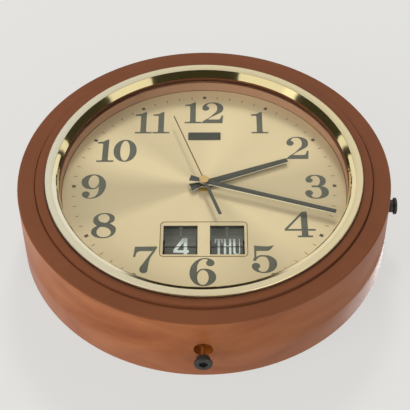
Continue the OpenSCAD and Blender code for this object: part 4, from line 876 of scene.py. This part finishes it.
# The masks wear the leaves' look, painted paler toward the top as painted light.
BELOW_FINGERS = 0.5 * MM
ABOVE_DRUM = 0.4 * MM
MASK_TOP_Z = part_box("leaf_fingers")[1].z - BELOW_FINGERS
MASK_SIDE_FOOT_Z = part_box("date_drum")[1].z + ABOVE_DRUM
MASK_GAP = 0.35 * MM
MASK_T = 0.3 * MM
MASK_OUTER = 1.7 * MM
MASK_INNER = 1.3 * MM


def leaf_mask(name, low, high, left, right):
    """A mask round a leaf that reaches past the leaf's left and right edges."""
    foot = high.z + MASK_GAP
    rim = [
        (low.x - left, MASK_SIDE_FOOT_Z), (low.x - MASK_GAP, MASK_SIDE_FOOT_Z),
        (low.x - MASK_GAP, foot), (high.x + MASK_GAP, foot),
        (high.x + MASK_GAP, MASK_SIDE_FOOT_Z), (high.x + right, MASK_SIDE_FOOT_Z),
        (high.x + right, MASK_TOP_Z), (low.x - left, MASK_TOP_Z),
    ]
    verts, faces = solid_outlines([[rim]], LEAF_Y, LEAF_Y + MASK_T)
    mesh_piece(name, verts, faces, LOOKS["leaf_plastic"])


leaf_mask("date_mask", LEAF_LOW, LEAF_HIGH, MASK_OUTER, MASK_INNER)
leaf_mask("day_mask", DAY_LOW, DAY_HIGH, MASK_INNER, MASK_OUTER)

# ---- Stage ----

SQUARE = ((-1, -1), (1, -1), (1, 1), (-1, 1))
WALL_REACH = 6.0
WALL_Y = 0.5 * MM
OWN_PALE = 0.8
NEAR_WALL = 30 * MM


def sheet(name, corners, material):
    """A flat face for the stage."""
    mesh = bpy.data.meshes.new(name)
    mesh.from_pydata(corners, [], [(0, 1, 2, 3)])
    mesh.materials.append(material)
    obj = bpy.data.objects.new(name, mesh)
    bpy.context.scene.collection.objects.link(obj)
    return obj


def wall_material():
    """Pale paint, a share of whose brightness is its own where the camera sees it.

    It is clear from behind. Light that starts close to it passes too, so that the clock's back
    is lit in the views from behind, where the wall isn't shown.
    """
    m = Nodes("wall_look")
    paint = m.shader({"Base Color": srgb("#dddcda"), "Roughness": 0.85, "Specular IOR Level": 0.1})
    pale = m.add("ShaderNodeEmission", {"Color": srgb("#dfdedb"), "Strength": 1.0}).outputs[0]
    clear = m.add("ShaderNodeBsdfTransparent").outputs[0]
    behind = m.add("ShaderNodeNewGeometry").outputs["Backfacing"]
    ray = m.add("ShaderNodeLightPath").outputs
    seen = m.layer(m.calc("MULTIPLY", ray["Is Camera Ray"], OWN_PALE), paint, pale)
    near = m.calc("LESS_THAN", ray["Ray Length"], NEAR_WALL)
    lighting = m.calc("SUBTRACT", 1.0, ray["Is Camera Ray"])
    through = m.calc("MAXIMUM", behind, m.calc("MULTIPLY", near, lighting))
    return m.surface(m.layer(through, seen, clear))


wall_corners = [(WALL_REACH * x, WALL_Y, WALL_REACH * z) for x, z in SQUARE]
wall = sheet("wall", wall_corners, wall_material())

# ---- Lights, world and camera ----
#
# Places are from the point of the wall behind the clock's axis. Each lamp and card faces the hub.

HUB = Vector((0, DIAL_Y, AXIS_Z))


def put(obj, place, front):
    """Puts an object at a place, with its front axis toward the hub."""
    obj.location = (place[0], place[1], AXIS_Z + place[2])
    obj.rotation_mode = "QUATERNION"
    obj.rotation_quaternion = (HUB - obj.location).to_track_quat(front, "Y")


def lamp(name, place, size, watts, color, in_mirrors):
    data = bpy.data.lights.new(name, "AREA")
    data.shape = "RECTANGLE"
    data.size, data.size_y = size
    data.energy = watts
    data.color = color
    light = bpy.data.objects.new(name, data)
    put(light, place, "-Z")
    light.visible_glossy = in_mirrors
    bpy.context.scene.collection.objects.link(light)


def card(name, place, size, strength, color=(1, 0.93, 0.6)):
    """A card that only mirrors see: a warm dark studio, or a bright sheen."""
    m = Nodes(name + "_look")
    glow = m.add("ShaderNodeEmission", {"Color": (*color, 1), "Strength": strength})
    corners = [(x * size[0] / 2, y * size[1] / 2, 0) for x, y in SQUARE]
    panel = sheet(name, corners, m.surface(glow.outputs["Emission"]))
    put(panel, place, "Z")
    panel.visible_camera = False
    panel.visible_diffuse = False
    panel.visible_shadow = False


lamp("key", (0.15, -2.57, 3.06), (0.75, 0.75), 108, (1.0, 0.98, 0.95), False)
lamp("fill_left", (-2.4, -0.95, -1.45), (2.6, 2.0), 74, (1.0, 0.98, 0.96), False)
lamp("behind", (0.5, 1.6, 0.9), (1.2, 1.2), 24, (1.0, 1.0, 1.0), True)
lamp("fill_right", (1.4, -1.1, -1.9), (1.2, 1.0), 13, (0.98, 0.99, 1.0), True)

# The studio's dark parts leave bright gaps, which show on the ring's lip as its bright arcs
card("camera_side", (0.13, -1.35, -1.25), (1.58, 1.6), 0.04)
card("left_side", (-1.85, -0.85, 0.13), (1.2, 1.5), 0.04)
card("left_far", (-1.63, -0.28, 0.91), (0.7, 1.3), 0.04)
card("right_side", (1.85, -0.85, 0.22), (1.2, 1.5), 0.04)
card("right_far", (1.63, -0.28, 0.97), (0.7, 1.3), 0.04)
card("left_sheen", (-2.5, -0.95, -1.5), (2.6, 2.0), 1.15, (1, 1, 1))
card("far_side", (0, -0.36, 1.6), (2.6, 0.72), 0.02)
card("overhead", (-0.06, -1.45, 0.86), (0.46, 0.3), 0.02)

AIR = 0.5
AIR_IN_MIRRORS = 0.9
AIR_COLOR = (0.98, 0.99, 1.0, 1)
world = bpy.data.worlds.new("studio")
bpy.context.scene.world = world
world.use_nodes = True
tree = world.node_tree
background = tree.nodes["Background"]
background.inputs["Color"].default_value = AIR_COLOR
ray = tree.nodes.new("ShaderNodeLightPath")
air = tree.nodes.new("ShaderNodeMapRange")
air.inputs["To Min"].default_value = AIR
air.inputs["To Max"].default_value = AIR_IN_MIRRORS
tree.links.new(ray.outputs["Is Glossy Ray"], air.inputs["Value"])
tree.links.new(air.outputs["Result"], background.inputs["Strength"])

# The camera that a fit to the case's ellipses gives
CAMERA_PLACE = Vector((0.00845, -0.7387, AXIS_Z - 0.642))
CAMERA_RIGHT = Vector((0.99996, 0.00739, 0.0040))
CAMERA_DOWN = Vector((-0.00197, 0.66900, -0.74326))
CAMERA_FORWARD = Vector((-0.00817, 0.74322, 0.66899))
SENSOR_W = 36
FOCAL_LENGTH = 94.28
camera_data = bpy.data.cameras.new("camera")
camera_data.sensor_width = SENSOR_W
camera_data.lens = FOCAL_LENGTH
camera = bpy.data.objects.new("camera", camera_data)
turn = Matrix((CAMERA_RIGHT, -CAMERA_DOWN, -CAMERA_FORWARD)).transposed()
camera.matrix_world = Matrix.Translation(CAMERA_PLACE) @ turn.to_4x4()
bpy.context.scene.collection.objects.link(camera)
bpy.context.scene.camera = camera
bpy.context.scene.view_settings.view_transform = "Standard"

bpy.context.view_layer.update()
